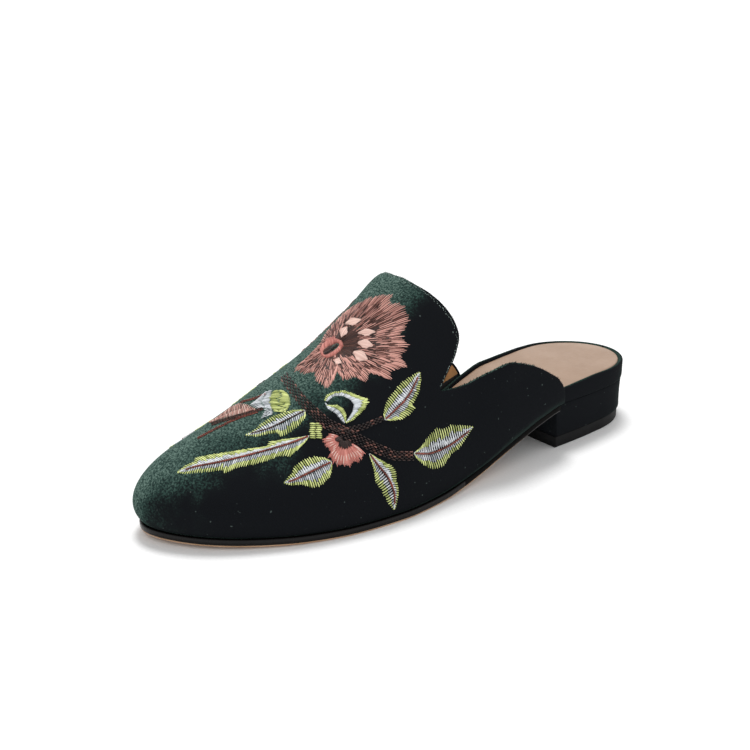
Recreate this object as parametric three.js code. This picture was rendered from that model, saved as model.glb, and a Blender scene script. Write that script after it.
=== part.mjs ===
// A left-foot velvet babouche: a backless slipper with an instep tongue, low side quarters
// and a covered block heel. Millimetres, +Z up, toe towards -Y, outer side of the foot towards +X.
// The origin is at the middle of the slipper's box, on the floor.
import * as THREE from "three";
import { mergeVertices } from "three/addons/utils/BufferGeometryUtils.js";

// Last: the form that the upper is pulled over
const LENGTH = 247.5; // heel back to toe tip, along the line where upper and sole meet
const BALL_WIDTH = 75.2; // across the ball, on that same line
const TOE_SWING = 9; // how far the toe tip turns to the inner side
const SEAT_HEIGHT = 21; // underside of the footbed at the heel
const SHANK_DROP = 1.7; // how far the outsole's end lies below that, at the heel breast
const TOE_SPRING = 2; // underside of the outsole at the toe tip
const INSTEP_HEIGHT = 88.4; // highest line of the instep above the sole
const INSTEP_LEAN = 10; // how far that line leans to the inner side
const QUARTER_FLARE = 2.6; // how far the low quarters stand out at their top edge
const TOE_OVERHANG = 4; // how far the toe box swells over the sole
const SIDE_SWELL = 1.2; // the same along the sides
const SWELL_HEIGHT = 26; // height at which the swell has run out
const SWELL_REACH = 70; // length behind the toe over which it turns into the side swell
const TOE_ROUND = 85; // length over which the toe's outline rounds in
const TOE_RISE = 27; // length over which the toe box reaches its height
const HEEL_ROUND = 34; // length over which the heel's outline rounds in

// Upper
const WALL = 2; // velvet, backing and leather lining together
const VAMP_ROWS = 20; // rows of faces from the toe to the vamp's end
const THROAT_ROWS = 12; // rows of faces from there to the throat's edge
const VAMP_END = 0.58; // share of the length at which the second rows start
const TOE_CROWDING = 1.9; // rows stand closer together towards the toe

// Sole
const GAP = 0.3; // clearance between pieces that touch
const SOLE = 3; // outsole thickness
const WELT = 1.6; // how far the outsole stands out round the forepart
const WAIST_WELT = 0.2; // the same at the waist
const WAIST_END = 0.42; // share of the length at which the welt starts to widen
const FOREPART_START = 0.58; // share at which it has its full width
const SOLE_LINE = 0.7; // height of the lower, set-back layer of the outsole's edge
const SOLE_STEP = 0.3; // how far that layer is set back
const BREAST = 68.5; // heel back to heel breast

// Footbed and sock
const SEAT_THICKNESS = 8; // velvet-covered band of the footbed at the heel
const BED_THICKNESS = 3.2; // footbed and sock together under the ball
const RIM_WIDTH = 2.2; // padded rim round the sock
const RIM_RISE = 1.3; // how far the rim stands above the sock at the waist
const RIM_REST = 0.2; // the same at the heel back and under the vamp
const RIM_ROUND = 0.7; // rounding of the rim's edges
const SOCK = 1.5; // leather sock with its padding

// Heel
const LIFT = 5.3; // height of the top piece
const BLOCK_INSET = 0.3; // heel block inside the footbed's side
const BLOCK_TAPER = 0.2; // further inset at the block's foot
const BLOCK_HOLLOW = 0.3; // how far the block's side curves in between
const LIFT_INSET = 0.7; // top piece inside the block's foot
const BREAST_RAKE = 1.5; // how far the breast's foot lies behind its top

const SIDE_STATIONS = 48; // stations along each side of the flat pieces

// How the curves are drawn
const OUTLINE_SHAPE = 2; // both ends of the outline round in as an ellipse does
const TOE_RISE_SHAPE = 2.2; // the toe box rises a little fuller than that
const SWELL_LOW = 0.75; // below 1 the swell is fullest nearer the sole
const LEAN_SHAPE = 1.5; // above 1 the lean gathers towards the ridge
const FLARE_START = 0.42; // share of a section's height at which the flare is full
const SWELL_STEP = 0.05; // distance over which the swell's direction is measured
const SOLE_SLOPE_STEP = 0.5; // the same for the sole's slope
const LINE_STEP = 1e-3; // the same for the sole line's direction
const LEAST = 1e-3; // least half width and height, at the toe's tip
const SAME_POINT = 1e-4; // points closer together than this are one

// The line where upper and sole meet, from heel back (0) to toe tip (1).
// centre: share of the toe swing. half: share of half the ball width, before the ends round in.
const PLAN = [
  { at: 0.0, centre: -0.18, half: 0.755 },
  { at: 0.1, centre: -0.14, half: 0.765 },
  { at: 0.2, centre: 0.1, half: 0.769 },
  { at: 0.28, centre: 0.22, half: 0.767 },
  { at: 0.38, centre: 0.37, half: 0.753 },
  { at: 0.48, centre: 0.41, half: 0.797 },
  { at: 0.58, centre: 0.33, half: 0.909 },
  { at: 0.66, centre: 0.2, half: 0.995 },
  { at: 0.74, centre: 0.11, half: 1.0 },
  { at: 0.82, centre: -0.02, half: 0.979 },
  { at: 0.89, centre: -0.26, half: 0.939 },
  { at: 0.945, centre: -0.56, half: 0.905 },
  { at: 1.0, centre: -1.0, half: 0.84 },
];

// Underside of the outsole. arch: share of its height at the heel breast.
// spring: share of the toe spring.
const UNDERSIDE = [
  { at: 0.0, arch: 1.0, spring: 0.0 },
  { at: 0.27, arch: 1.0, spring: 0.0 },
  { at: 0.32, arch: 0.86, spring: 0.0 },
  { at: 0.37, arch: 0.637, spring: 0.0 },
  { at: 0.42, arch: 0.409, spring: 0.0 },
  { at: 0.47, arch: 0.218, spring: 0.0 },
  { at: 0.52, arch: 0.088, spring: 0.0 },
  { at: 0.57, arch: 0.015, spring: 0.0 },
  { at: 0.6, arch: 0.0, spring: 0.0 },
  { at: 0.74, arch: 0.0, spring: 0.0 },
  { at: 0.8, arch: 0.0, spring: 0.12 },
  { at: 0.87, arch: 0.0, spring: 0.36 },
  { at: 0.94, arch: 0.0, spring: 0.67 },
  { at: 1.0, arch: 0.0, spring: 1.0 },
];

// Cross sections of the last. height: share of the instep height. square: 2 is an ellipse, more
// is squarer. lean: share of the instep lean. flare: share of the quarter flare.
const SECTIONS = [
  { at: 0.24, height: 1.03, square: 3.0, lean: 0.2, flare: 1.0 },
  { at: 0.4, height: 1.02, square: 3.0, lean: 0.3, flare: 1.0 },
  { at: 0.45, height: 1.0, square: 2.6, lean: 0.65, flare: 0.75 },
  { at: 0.5, height: 0.958, square: 2.3, lean: 1.0, flare: 0.4 },
  { at: 0.53, height: 0.931, square: 2.3, lean: 0.92, flare: 0.2 },
  { at: 0.61, height: 0.774, square: 2.3, lean: 0.62, flare: 0.0 },
  { at: 0.69, height: 0.62, square: 2.26, lean: 0.47, flare: 0.0 },
  { at: 0.77, height: 0.516, square: 2.22, lean: 0.34, flare: 0.0 },
  { at: 0.85, height: 0.412, square: 2.23, lean: 0.22, flare: 0.0 },
  { at: 0.93, height: 0.335, square: 2.32, lean: 0.1, flare: 0.0 },
  { at: 1.0, height: 0.32, square: 2.41, lean: 0.0, flare: 0.0 },
];

// The throat's edge. round: way round the section, from the ridge (0) to the sole (1).
// at: share of the length, from the heel back. The tongue comes first, then the notch and the quarter.
const OUTER_EDGE = [
  { round: 0.0, at: 0.541 },
  { round: 0.1, at: 0.539 },
  { round: 0.2, at: 0.534 },
  { round: 0.32, at: 0.52 },
  { round: 0.43, at: 0.505 },
  { round: 0.51, at: 0.497 },
  { round: 0.555, at: 0.4955 },
  { round: 0.582, at: 0.497 },
  { round: 0.6, at: 0.503 },
  { round: 0.628, at: 0.5125 },
  { round: 0.657, at: 0.533 },
  { round: 0.676, at: 0.548 },
  { round: 0.69, at: 0.56 },
  { round: 0.705, at: 0.549 },
  { round: 0.735, at: 0.5185 },
  { round: 0.748, at: 0.489 },
  { round: 0.76, at: 0.4665 },
  { round: 0.784, at: 0.4466 },
  { round: 0.824, at: 0.419 },
  { round: 0.86, at: 0.3865 },
  { round: 0.897, at: 0.352 },
  { round: 0.925, at: 0.328 },
  { round: 0.95, at: 0.3075 },
  { round: 0.973, at: 0.2875 },
  { round: 0.988, at: 0.271 },
  { round: 1.0, at: 0.25 },
];
const INNER_EDGE = [
  { round: 0.0, at: 0.541 },
  { round: 0.1, at: 0.5375 },
  { round: 0.2, at: 0.531 },
  { round: 0.32, at: 0.517 },
  { round: 0.43, at: 0.504 },
  { round: 0.51, at: 0.4975 },
  { round: 0.555, at: 0.496 },
  { round: 0.582, at: 0.498 },
  { round: 0.6, at: 0.503 },
  { round: 0.628, at: 0.5145 },
  { round: 0.657, at: 0.534 },
  { round: 0.676, at: 0.548 },
  { round: 0.69, at: 0.56 },
  { round: 0.705, at: 0.551 },
  { round: 0.735, at: 0.535 },
  { round: 0.748, at: 0.527 },
  { round: 0.76, at: 0.519 },
  { round: 0.784, at: 0.503 },
  { round: 0.824, at: 0.478 },
  { round: 0.86, at: 0.447 },
  { round: 0.897, at: 0.408 },
  { round: 0.925, at: 0.385 },
  { round: 0.95, at: 0.361 },
  { round: 0.973, at: 0.34 },
  { round: 0.988, at: 0.3195 },
  { round: 1.0, at: 0.297 },
];

// How the footbed thins towards the toe.
// thick: share between its thickness under the ball and at the heel.
const SOCK_TOP = [
  { at: 0.0, thick: 1.0 },
  { at: 0.16, thick: 1.0 },
  { at: 0.21, thick: 0.78 },
  { at: 0.25, thick: 0.5 },
  { at: 0.29, thick: 0.25 },
  { at: 0.33, thick: 0.12 },
  { at: 0.45, thick: 0.04 },
  { at: 0.6, thick: 0.0 },
  { at: 1.0, thick: 0.0 },
];

// Rise of the footbed's rim above the sock. crown: share between its least and its most.
const RIM = [
  { at: 0.0, crown: 0.0 },
  { at: 0.1, crown: 0.15 },
  { at: 0.22, crown: 0.7 },
  { at: 0.3, crown: 1.0 },
  { at: 0.4, crown: 0.7 },
  { at: 0.5, crown: 0.0 },
  { at: 1.0, crown: 0.0 },
];

const HEEL_BACK = LENGTH / 2;
const TOE_TIP = -LENGTH / 2;
const SHANK_HEIGHT = SEAT_HEIGHT - SHANK_DROP;
const BREAST_Y = HEEL_BACK - BREAST;
const BED_INSET = WALL + GAP; // the footbed fills the upper's inside
const HEEL_STACK = SHANK_DROP + SEAT_THICKNESS; // outsole's underside to the sock's top, at the heel
const BALL_STACK = SOLE + GAP + BED_THICKNESS; // the same under the ball

const shareAt = (y) => (HEEL_BACK - y) / LENGTH;
const yAt = (share) => HEEL_BACK - share * LENGTH;

// Reads a table's column at a place between its rows, on a curve that never overshoots them.
function read(table, column, place) {
  const last = table.length - 1;
  const at = THREE.MathUtils.clamp(place, table[0].at, table[last].at);
  let row = 0;
  while (row < last - 1 && at > table[row + 1].at) row += 1;
  const span = (k) => table[k + 1].at - table[k].at;
  const slope = (k) => (table[k + 1][column] - table[k][column]) / span(k);
  const tangent = (k) => {
    if (k === 0) return slope(0);
    if (k === last) return slope(last - 1);
    const before = slope(k - 1);
    const after = slope(k);
    if (before * after <= 0) return 0;
    const weightBefore = 2 * span(k) + span(k - 1);
    const weightAfter = span(k) + 2 * span(k - 1);
    return (weightBefore + weightAfter) / (weightBefore / before + weightAfter / after);
  };
  const width = span(row);
  const t = (at - table[row].at) / width;
  const start = table[row][column];
  const end = table[row + 1][column];
  const blend = t * t * (3 - 2 * t);
  const leave = t * (1 - t) * (1 - t) * width * tangent(row);
  const arrive = t * t * (t - 1) * width * tangent(row + 1);
  return start + (end - start) * blend + leave + arrive;
}

// A share that rises from 0 to 1 as a round end does.
function roundIn(distance, reach, power) {
  const way = THREE.MathUtils.clamp(distance / reach, 0, 1);
  return (1 - (1 - way) ** power) ** (1 / power);
}

const planCentre = (y) => TOE_SWING * read(PLAN, "centre", shareAt(y));

function planHalf(y) {
  const full = (BALL_WIDTH / 2) * read(PLAN, "half", shareAt(y));
  const toe = roundIn(y - TOE_TIP, TOE_ROUND, OUTLINE_SHAPE);
  return full * toe * roundIn(HEEL_BACK - y, HEEL_ROUND, OUTLINE_SHAPE);
}

function underside(y) {
  const arch = SHANK_HEIGHT * read(UNDERSIDE, "arch", shareAt(y));
  return arch + TOE_SPRING * read(UNDERSIDE, "spring", shareAt(y));
}

// Top of the outsole, where the upper's edge and the footbed rest
function soleTop(y) {
  const ahead = underside(y + SOLE_SLOPE_STEP);
  const slope = (ahead - underside(y - SOLE_SLOPE_STEP)) / (2 * SOLE_SLOPE_STEP);
  return underside(y) + SOLE * Math.hypot(1, slope);
}

function lastHeight(y) {
  const full = INSTEP_HEIGHT * read(SECTIONS, "height", shareAt(y));
  return full * roundIn(y - TOE_TIP, TOE_RISE, TOE_RISE_SHAPE);
}

// A point of the last's surface. round runs from -1 at the inner side's sole line,
// over the ridge at 0, to 1 at the outer side's.
function lastPoint(y, round) {
  const share = shareAt(y);
  const side = Math.sign(round);
  const angle = (Math.abs(round) * Math.PI) / 2;
  const power = 2 / read(SECTIONS, "square", share);
  const across = Math.sin(angle) ** power;
  const up = Math.max(Math.cos(angle), 0) ** power;
  const half = Math.max(planHalf(y), LEAST);
  const height = Math.max(lastHeight(y), LEAST);
  const rise = height * up;
  const widening = (planHalf(y + SWELL_STEP) - half) / SWELL_STEP;
  const rising = (lastHeight(y + SWELL_STEP) - height) / SWELL_STEP;
  const outX = (side * across ** (2 / power - 1)) / half;
  const sine = Math.sin(angle);
  const cosine = Math.cos(angle);
  const outY = -(sine * sine * widening) / half - (cosine * cosine * rising) / height;
  const length = Math.hypot(outX, outY) || 1;
  const swell = Math.sin(Math.PI * Math.min(rise / SWELL_HEIGHT, 1) ** SWELL_LOW);
  const behind = THREE.MathUtils.clamp((y - TOE_TIP) / SWELL_REACH, 0, 1);
  const toeShare = (1 - behind) ** 2;
  const amount = swell * (TOE_OVERHANG * toeShare + SIDE_SWELL * (1 - toeShare));
  const lean = INSTEP_LEAN * read(SECTIONS, "lean", share) * up ** LEAN_SHAPE;
  const flare = QUARTER_FLARE * read(SECTIONS, "flare", share) * Math.min(up / FLARE_START, 1);
  return new THREE.Vector3(
    planCentre(y) + side * (half * across + flare) - lean + (outX / length) * amount,
    y + (outY / length) * amount * (1 - behind),
    soleTop(y) + rise,
  );
}

// Makes a mesh geometry from points and triangles.
function geometryOf(points, triangles) {
  const geometry = new THREE.BufferGeometry();
  geometry.setFromPoints(points);
  geometry.setIndex(triangles);
  return geometry;
}

// Two triangles over four corners; corners that are one point leave one triangle.
function addQuad(triangles, a, b, c, d) {
  if (a !== b && b !== c && a !== c) triangles.push(a, b, c);
  if (a !== c && c !== d && a !== d) triangles.push(a, c, d);
}

// The upper's wall: an outer sheet over the last, the same sheet one wall further in,
// and the strips that close them along the throat and the sole.
function upperGeometry() {
  const columns = [
    ...INNER_EDGE.slice(1).reverse().map((row) => ({ round: -row.round, end: yAt(row.at) })),
    ...OUTER_EDGE.map((row) => ({ round: row.round, end: yAt(row.at) })),
  ];
  const vampEnd = yAt(VAMP_END);
  const rows = VAMP_ROWS + THROAT_ROWS;
  const yOf = (row, end) => {
    if (row <= VAMP_ROWS) {
      return TOE_TIP + (vampEnd - TOE_TIP) * (row / VAMP_ROWS) ** TOE_CROWDING;
    }
    return vampEnd + ((end - vampEnd) * (row - VAMP_ROWS)) / THROAT_ROWS;
  };
  const outside = [lastPoint(TOE_TIP, 0)];
  outside[0].set(planCentre(TOE_TIP), TOE_TIP, soleTop(TOE_TIP));
  for (let row = 1; row <= rows; row += 1) {
    for (const { round, end } of columns) outside.push(lastPoint(yOf(row, end), round));
  }
  const count = columns.length;
  const index = (row, column) => (row === 0 ? 0 : 1 + (row - 1) * count + column);
  const sheet = [];
  for (let row = 0; row < rows; row += 1) {
    for (let column = 0; column < count - 1; column += 1) {
      const front = [index(row, column), index(row, column + 1)];
      const rear = [index(row + 1, column), index(row + 1, column + 1)];
      addQuad(sheet, front[0], front[1], rear[1], rear[0]);
    }
  }
  const skin = geometryOf(outside, sheet);
  skin.computeVertexNormals();
  const normals = skin.getAttribute("normal");
  const inside = outside.map((point, k) => {
    const inwards = new THREE.Vector3().fromBufferAttribute(normals, k).negate();
    const onSole = k === 0 || (k - 1) % count === 0 || (k - 1) % count === count - 1;
    if (k === 0) inwards.set(0, 1, 0);
    if (onSole) inwards.setZ(0).normalize();
    return point.clone().addScaledVector(inwards, WALL);
  });
  for (const k of inside.keys()) {
    const onSole = k === 0 || (k - 1) % count === 0 || (k - 1) % count === count - 1;
    if (onSole) inside[k].z = soleTop(inside[k].y);
  }
  const shift = outside.length;
  const triangles = [...sheet];
  for (let k = 0; k < sheet.length; k += 3) {
    triangles.push(shift + sheet[k], shift + sheet[k + 2], shift + sheet[k + 1]);
  }
  for (let column = 0; column < count - 1; column += 1) {
    const a = index(rows, column);
    const b = index(rows, column + 1);
    addQuad(triangles, a, b, shift + b, shift + a);
  }
  for (let row = 0; row < rows; row += 1) {
    const inner = [index(row, 0), index(row + 1, 0)];
    const outer = [index(row, count - 1), index(row + 1, count - 1)];
    addQuad(triangles, inner[0], inner[1], shift + inner[1], shift + inner[0]);
    addQuad(triangles, outer[1], outer[0], shift + outer[0], shift + outer[1]);
  }
  const geometry = geometryOf([...outside, ...inside], triangles);
  geometry.translate(0, 0, GAP);
  return geometry;
}

// Stations from one end of a flat piece to the other, closer together at its round ends.
function stations(from, to, roundStart, roundEnd) {
  const list = [];
  for (let k = 0; k <= SIDE_STATIONS; k += 1) {
    const t = k / SIDE_STATIONS;
    let eased = (1 - Math.cos(Math.PI * t)) / 2;
    if (!roundEnd) eased = 1 - Math.cos((Math.PI * t) / 2);
    if (!roundStart) eased = Math.sin((Math.PI * t) / 2);
    list.push(from + (to - from) * eased);
  }
  return list;
}

// A point of the sole line on one side (1 outer, -1 inner), moved in square to the line.
function edgePoint(y, side, inset) {
  const xAt = (place) => planCentre(place) + side * planHalf(place);
  const slope = (xAt(y + LINE_STEP) - xAt(y - LINE_STEP)) / (2 * LINE_STEP);
  const outward = new THREE.Vector2(side, -side * slope).normalize();
  return new THREE.Vector2(xAt(y), y).addScaledVector(outward, -inset);
}

// A closed ring of points inside the sole line. It starts at the rear, runs forward along
// the outer side and comes back along the inner side. insetAt and heightAt take y.
function ring(ys, insetAt, heightAt) {
  const outer = ys.map((y) => edgePoint(y, 1, insetAt(y)));
  const inner = ys.map((y) => edgePoint(y, -1, insetAt(y))).reverse();
  if (planHalf(ys[ys.length - 1]) === 0) inner.shift();
  if (planHalf(ys[0]) === 0) inner.pop();
  else outer.unshift(outer[0].clone().add(inner[inner.length - 1]).multiplyScalar(0.5));
  return [...outer, ...inner].map((point) => new THREE.Vector3(point.x, point.y, heightAt(point.y)));
}

// Joins rings of equal length, the first closed below and the last closed above, into one solid.
function solidOf(rings) {
  const count = rings[0].length;
  const across = (k) => (count - k) % count;
  const top = (rings.length - 1) * count;
  const triangles = [];
  for (let level = 0; level < rings.length - 1; level += 1) {
    const low = level * count;
    for (let k = 0; k < count; k += 1) {
      const next = (k + 1) % count;
      addQuad(triangles, low + k, low + count + k, low + count + next, low + next);
    }
  }
  for (let k = 0; k < Math.floor(count / 2); k += 1) {
    addQuad(triangles, k, k + 1, across(k + 1), across(k));
    addQuad(triangles, top + k, top + across(k), top + across(k + 1), top + k + 1);
  }
  return geometryOf(rings.flat(), triangles);
}

const sockTop = (y) =>
  underside(y) + BALL_STACK + (HEEL_STACK - BALL_STACK) * read(SOCK_TOP, "thick", shareAt(y));

const rimTop = (y) =>
  sockTop(y) + RIM_REST + (RIM_RISE - RIM_REST) * read(RIM, "crown", shareAt(y));

// How far the outsole stands out: the welt round the forepart, less at the waist
function weltAt(y) {
  const fade = THREE.MathUtils.smoothstep(shareAt(y), WAIST_END, FOREPART_START);
  return WAIST_WELT + (WELT - WAIST_WELT) * fade;
}

function outsoleGeometry() {
  const ys = stations(BREAST_Y - GAP, TOE_TIP, false, true);
  const edge = (y) => -weltAt(y);
  const stepped = (y) => SOLE_STEP - weltAt(y);
  const line = (y) => underside(y) + SOLE_LINE;
  return solidOf([
    ring(ys, stepped, underside),
    ring(ys, stepped, line),
    ring(ys, edge, line),
    ring(ys, edge, soleTop),
  ]);
}

// The footbed's underside follows the outsole and steps down onto the heel block behind the breast.
function footbedGeometry() {
  const whole = stations(HEEL_BACK, TOE_TIP, true, true);
  const ys = [...whole, BREAST_Y, BREAST_Y + GAP].sort((a, b) => b - a);
  const base = (y) => (y > BREAST_Y + GAP / 2 ? SEAT_HEIGHT : soleTop(y)) + GAP;
  const level = (inset, heightAt) => ring(ys, () => BED_INSET + inset, heightAt);
  return solidOf([
    level(0, base),
    level(0, (y) => rimTop(y) - RIM_ROUND),
    level(RIM_ROUND / 2, rimTop),
    level(RIM_WIDTH - RIM_ROUND / 2, rimTop),
    level(RIM_WIDTH, (y) => sockTop(y) - RIM_REST / 2),
    level(RIM_WIDTH, (y) => sockTop(y) - SOCK - GAP),
  ]);
}

function insoleGeometry() {
  const ys = stations(HEEL_BACK, TOE_TIP, true, true);
  const inset = () => BED_INSET + RIM_WIDTH + GAP;
  return solidOf([ring(ys, inset, (y) => sockTop(y) - SOCK), ring(ys, inset, sockTop)]);
}

// A slice of the heel: the footbed's outline from the heel back to a breast line, moved in.
function heelSlice(inset, height) {
  const rake = (BREAST_RAKE * (SEAT_HEIGHT - height)) / SEAT_HEIGHT;
  const ys = stations(HEEL_BACK, BREAST_Y + GAP + rake, true, false);
  return ring(ys, () => BED_INSET + BLOCK_INSET + inset, () => height);
}

function heelBlockGeometry() {
  const foot = LIFT + GAP;
  const middle = (foot + SEAT_HEIGHT) / 2;
  return solidOf([
    heelSlice(BLOCK_TAPER, foot),
    heelSlice(BLOCK_TAPER / 2 + BLOCK_HOLLOW / 2, middle),
    heelSlice(BLOCK_HOLLOW / 2, (middle + SEAT_HEIGHT) / 2),
    heelSlice(0, SEAT_HEIGHT),
  ]);
}

function topPieceGeometry() {
  const inset = BLOCK_TAPER + LIFT_INSET;
  return solidOf([heelSlice(inset, 0), heelSlice(inset, LIFT)]);
}

const PIECES = [
  { name: "upper", shape: upperGeometry, color: 0x14221f, roughness: 0.95 },
  { name: "footbed", shape: footbedGeometry, color: 0x161e1d, roughness: 0.95 },
  { name: "insole", shape: insoleGeometry, color: 0xc2a48c, roughness: 0.6 },
  { name: "outsole", shape: outsoleGeometry, color: 0x17130f, roughness: 0.35 },
  { name: "heel_block", shape: heelBlockGeometry, color: 0x161e1d, roughness: 0.95 },
  { name: "top_piece", shape: topPieceGeometry, color: 0x232323, roughness: 0.6 },
];

const slipper = new THREE.Group();
for (const { name, shape, color, roughness } of PIECES) {
  const finish = new THREE.MeshStandardMaterial({ color, roughness, metalness: 0 });
  const mesh = new THREE.Mesh(mergeVertices(shape(), SAME_POINT), finish);
  mesh.name = name;
  slipper.add(mesh);
}
const middle = new THREE.Box3().setFromObject(slipper).getCenter(new THREE.Vector3());
slipper.position.set(-middle.x, -middle.y, 0);

const part = new THREE.Group();
part.add(slipper);
export default part;
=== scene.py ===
"""A left velvet babouche with an embroidered vamp, dressed on its fixed frame, on a plain white studio floor.

Sizes are in millimetres in the maker's own frame and are turned to metres where a mesh is made.
"""

from __future__ import annotations

import logging
import math
from dataclasses import dataclass, field
from enum import Enum
from typing import Callable, Sequence

import bpy
import numpy as np
from mathutils import Matrix, Vector
from mathutils.bvhtree import BVHTree

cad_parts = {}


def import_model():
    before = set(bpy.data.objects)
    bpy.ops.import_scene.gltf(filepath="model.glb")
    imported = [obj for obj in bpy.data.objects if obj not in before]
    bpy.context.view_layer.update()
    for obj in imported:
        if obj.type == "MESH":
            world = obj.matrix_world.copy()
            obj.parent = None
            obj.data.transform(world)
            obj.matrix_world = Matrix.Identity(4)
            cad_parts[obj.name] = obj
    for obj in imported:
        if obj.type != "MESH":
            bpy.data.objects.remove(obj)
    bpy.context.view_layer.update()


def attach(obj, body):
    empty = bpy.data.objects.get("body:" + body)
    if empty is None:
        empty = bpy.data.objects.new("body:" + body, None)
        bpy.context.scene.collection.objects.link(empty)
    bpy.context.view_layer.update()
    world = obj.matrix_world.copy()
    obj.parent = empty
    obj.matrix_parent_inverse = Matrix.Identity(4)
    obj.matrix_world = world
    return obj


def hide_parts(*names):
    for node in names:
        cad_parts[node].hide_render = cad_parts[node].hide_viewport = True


LOG = logging.getLogger("slipper")
MM = 0.001
SEED = 7
Table = Sequence[tuple[float, ...]]
Height = Callable[[np.ndarray], np.ndarray]


def linear(hex_colour: str) -> tuple[float, float, float, float]:
    """Turns an sRGB hex colour into linear RGBA.

    Args:
        hex_colour: Six hex digits after a hash sign.

    Returns:
        Linear red, green, blue and an alpha of one.
    """
    parts = [int(hex_colour[k : k + 2], 16) / 255 for k in (1, 3, 5)]
    turned = [c / 12.92 if c <= 0.04045 else ((c + 0.055) / 1.055) ** 2.4 for c in parts]
    return (turned[0], turned[1], turned[2], 1.0)


def unit(vectors: np.ndarray) -> np.ndarray:
    """Scales each vector to length one; a vector without length stays as it is."""
    return vectors / np.maximum(np.linalg.norm(vectors, axis=-1, keepdims=True), 1e-9)


def run_lengths(points: np.ndarray) -> np.ndarray:
    """Distance from a line's first point to each of its points."""
    return np.concatenate([[0], np.cumsum(np.linalg.norm(np.diff(points, axis=0), axis=1))])


def eased(share: np.ndarray) -> np.ndarray:
    """A share from 0 to 1 that starts and ends gently."""
    return share * share * (3 - 2 * share)


class Curve:
    """A column of listed values, read on a smooth curve that never overshoots them."""

    def __init__(self, rows: Table, column: int) -> None:
        """Keeps the column and its tangents.

        Args:
            rows: Table rows, whose first entry is the place.
            column: Which entry of a row holds the value.
        """
        self.at = np.array([row[0] for row in rows], float)
        self.value = np.array([row[column] for row in rows], float)
        span = np.diff(self.at)
        slope = np.diff(self.value) / span
        self.tangent = np.zeros(len(rows))
        self.tangent[0], self.tangent[-1] = slope[0], slope[-1]
        for k in range(1, len(rows) - 1):
            before, after = slope[k - 1], slope[k]
            if before * after > 0:
                first, second = 2 * span[k] + span[k - 1], span[k] + 2 * span[k - 1]
                self.tangent[k] = (first + second) / (first / before + second / after)

    def __call__(self, place: np.ndarray | float) -> np.ndarray:
        """Reads the curve.

        Args:
            place: Places along the table.

        Returns:
            The value at each place.
        """
        at = np.clip(np.asarray(place, float), self.at[0], self.at[-1])
        row = np.clip(np.searchsorted(self.at, at, side="right") - 1, 0, len(self.at) - 2)
        width = self.at[row + 1] - self.at[row]
        t = (at - self.at[row]) / width
        start, end = self.value[row], self.value[row + 1]
        leave = t * (1 - t) ** 2 * width * self.tangent[row]
        arrive = t * t * (t - 1) * width * self.tangent[row + 1]
        return start + (end - start) * eased(t) + leave + arrive


# place from heel to toe, centre as a share of the toe swing, half width as a share of half the ball width
PLAN: Table = (
    (0.0, -0.18, 0.755), (0.1, -0.14, 0.765), (0.2, 0.1, 0.769), (0.28, 0.22, 0.767),
    (0.38, 0.37, 0.753), (0.48, 0.41, 0.797), (0.58, 0.33, 0.909), (0.66, 0.2, 0.995),
    (0.74, 0.11, 1.0), (0.82, -0.02, 0.979), (0.89, -0.26, 0.939), (0.945, -0.56, 0.905), (1.0, -1.0, 0.84),
)
# place, share of the arch, share of the toe spring
UNDERSIDE: Table = (
    (0.0, 1.0, 0.0), (0.27, 1.0, 0.0), (0.32, 0.86, 0.0), (0.37, 0.637, 0.0), (0.42, 0.409, 0.0),
    (0.47, 0.218, 0.0), (0.52, 0.088, 0.0), (0.57, 0.015, 0.0), (0.6, 0.0, 0.0), (0.74, 0.0, 0.0),
    (0.8, 0.0, 0.12), (0.87, 0.0, 0.36), (0.94, 0.0, 0.67), (1.0, 0.0, 1.0),
)
# place, height, squareness, lean and flare of a cross section
SECTIONS: Table = (
    (0.24, 1.03, 3.0, 0.2, 1.0), (0.4, 1.02, 3.0, 0.3, 1.0), (0.45, 1.0, 2.6, 0.65, 0.75),
    (0.5, 0.958, 2.3, 1.0, 0.4), (0.53, 0.931, 2.3, 0.92, 0.2), (0.61, 0.774, 2.3, 0.62, 0.0),
    (0.69, 0.62, 2.26, 0.47, 0.0), (0.77, 0.516, 2.22, 0.34, 0.0), (0.85, 0.412, 2.23, 0.22, 0.0),
    (0.93, 0.335, 2.32, 0.1, 0.0), (1.0, 0.32, 2.41, 0.0, 0.0),
)
# way round the section from the ridge, place of the throat's edge on the outer side, on the inner side
EDGE: Table = (
    (0.0, 0.541, 0.541), (0.1, 0.539, 0.5375), (0.2, 0.534, 0.531), (0.32, 0.52, 0.517),
    (0.43, 0.505, 0.504), (0.51, 0.497, 0.4975), (0.555, 0.4955, 0.496), (0.582, 0.497, 0.498),
    (0.6, 0.503, 0.503), (0.628, 0.5125, 0.5145), (0.657, 0.533, 0.534), (0.676, 0.548, 0.548),
    (0.69, 0.56, 0.56), (0.705, 0.549, 0.551), (0.735, 0.5185, 0.535), (0.748, 0.489, 0.527),
    (0.76, 0.4665, 0.519), (0.784, 0.4466, 0.503), (0.824, 0.419, 0.478), (0.86, 0.3865, 0.447),
    (0.897, 0.352, 0.408), (0.925, 0.328, 0.385), (0.95, 0.3075, 0.361), (0.973, 0.2875, 0.34),
    (0.988, 0.271, 0.3195), (1.0, 0.25, 0.297),
)
# place, share of the way from the footbed's thickness at the ball to that at the heel
SOCK_TOP: Table = (
    (0.0, 1.0), (0.16, 1.0), (0.21, 0.78), (0.25, 0.5), (0.29, 0.25), (0.33, 0.12), (0.45, 0.04), (0.6, 0.0),
    (1.0, 0.0),
)
# place, share of the rim's full rise
RIM: Table = ((0.0, 0.0), (0.1, 0.15), (0.22, 0.7), (0.3, 1.0), (0.4, 0.7), (0.5, 0.0), (1.0, 0.0))
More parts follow.
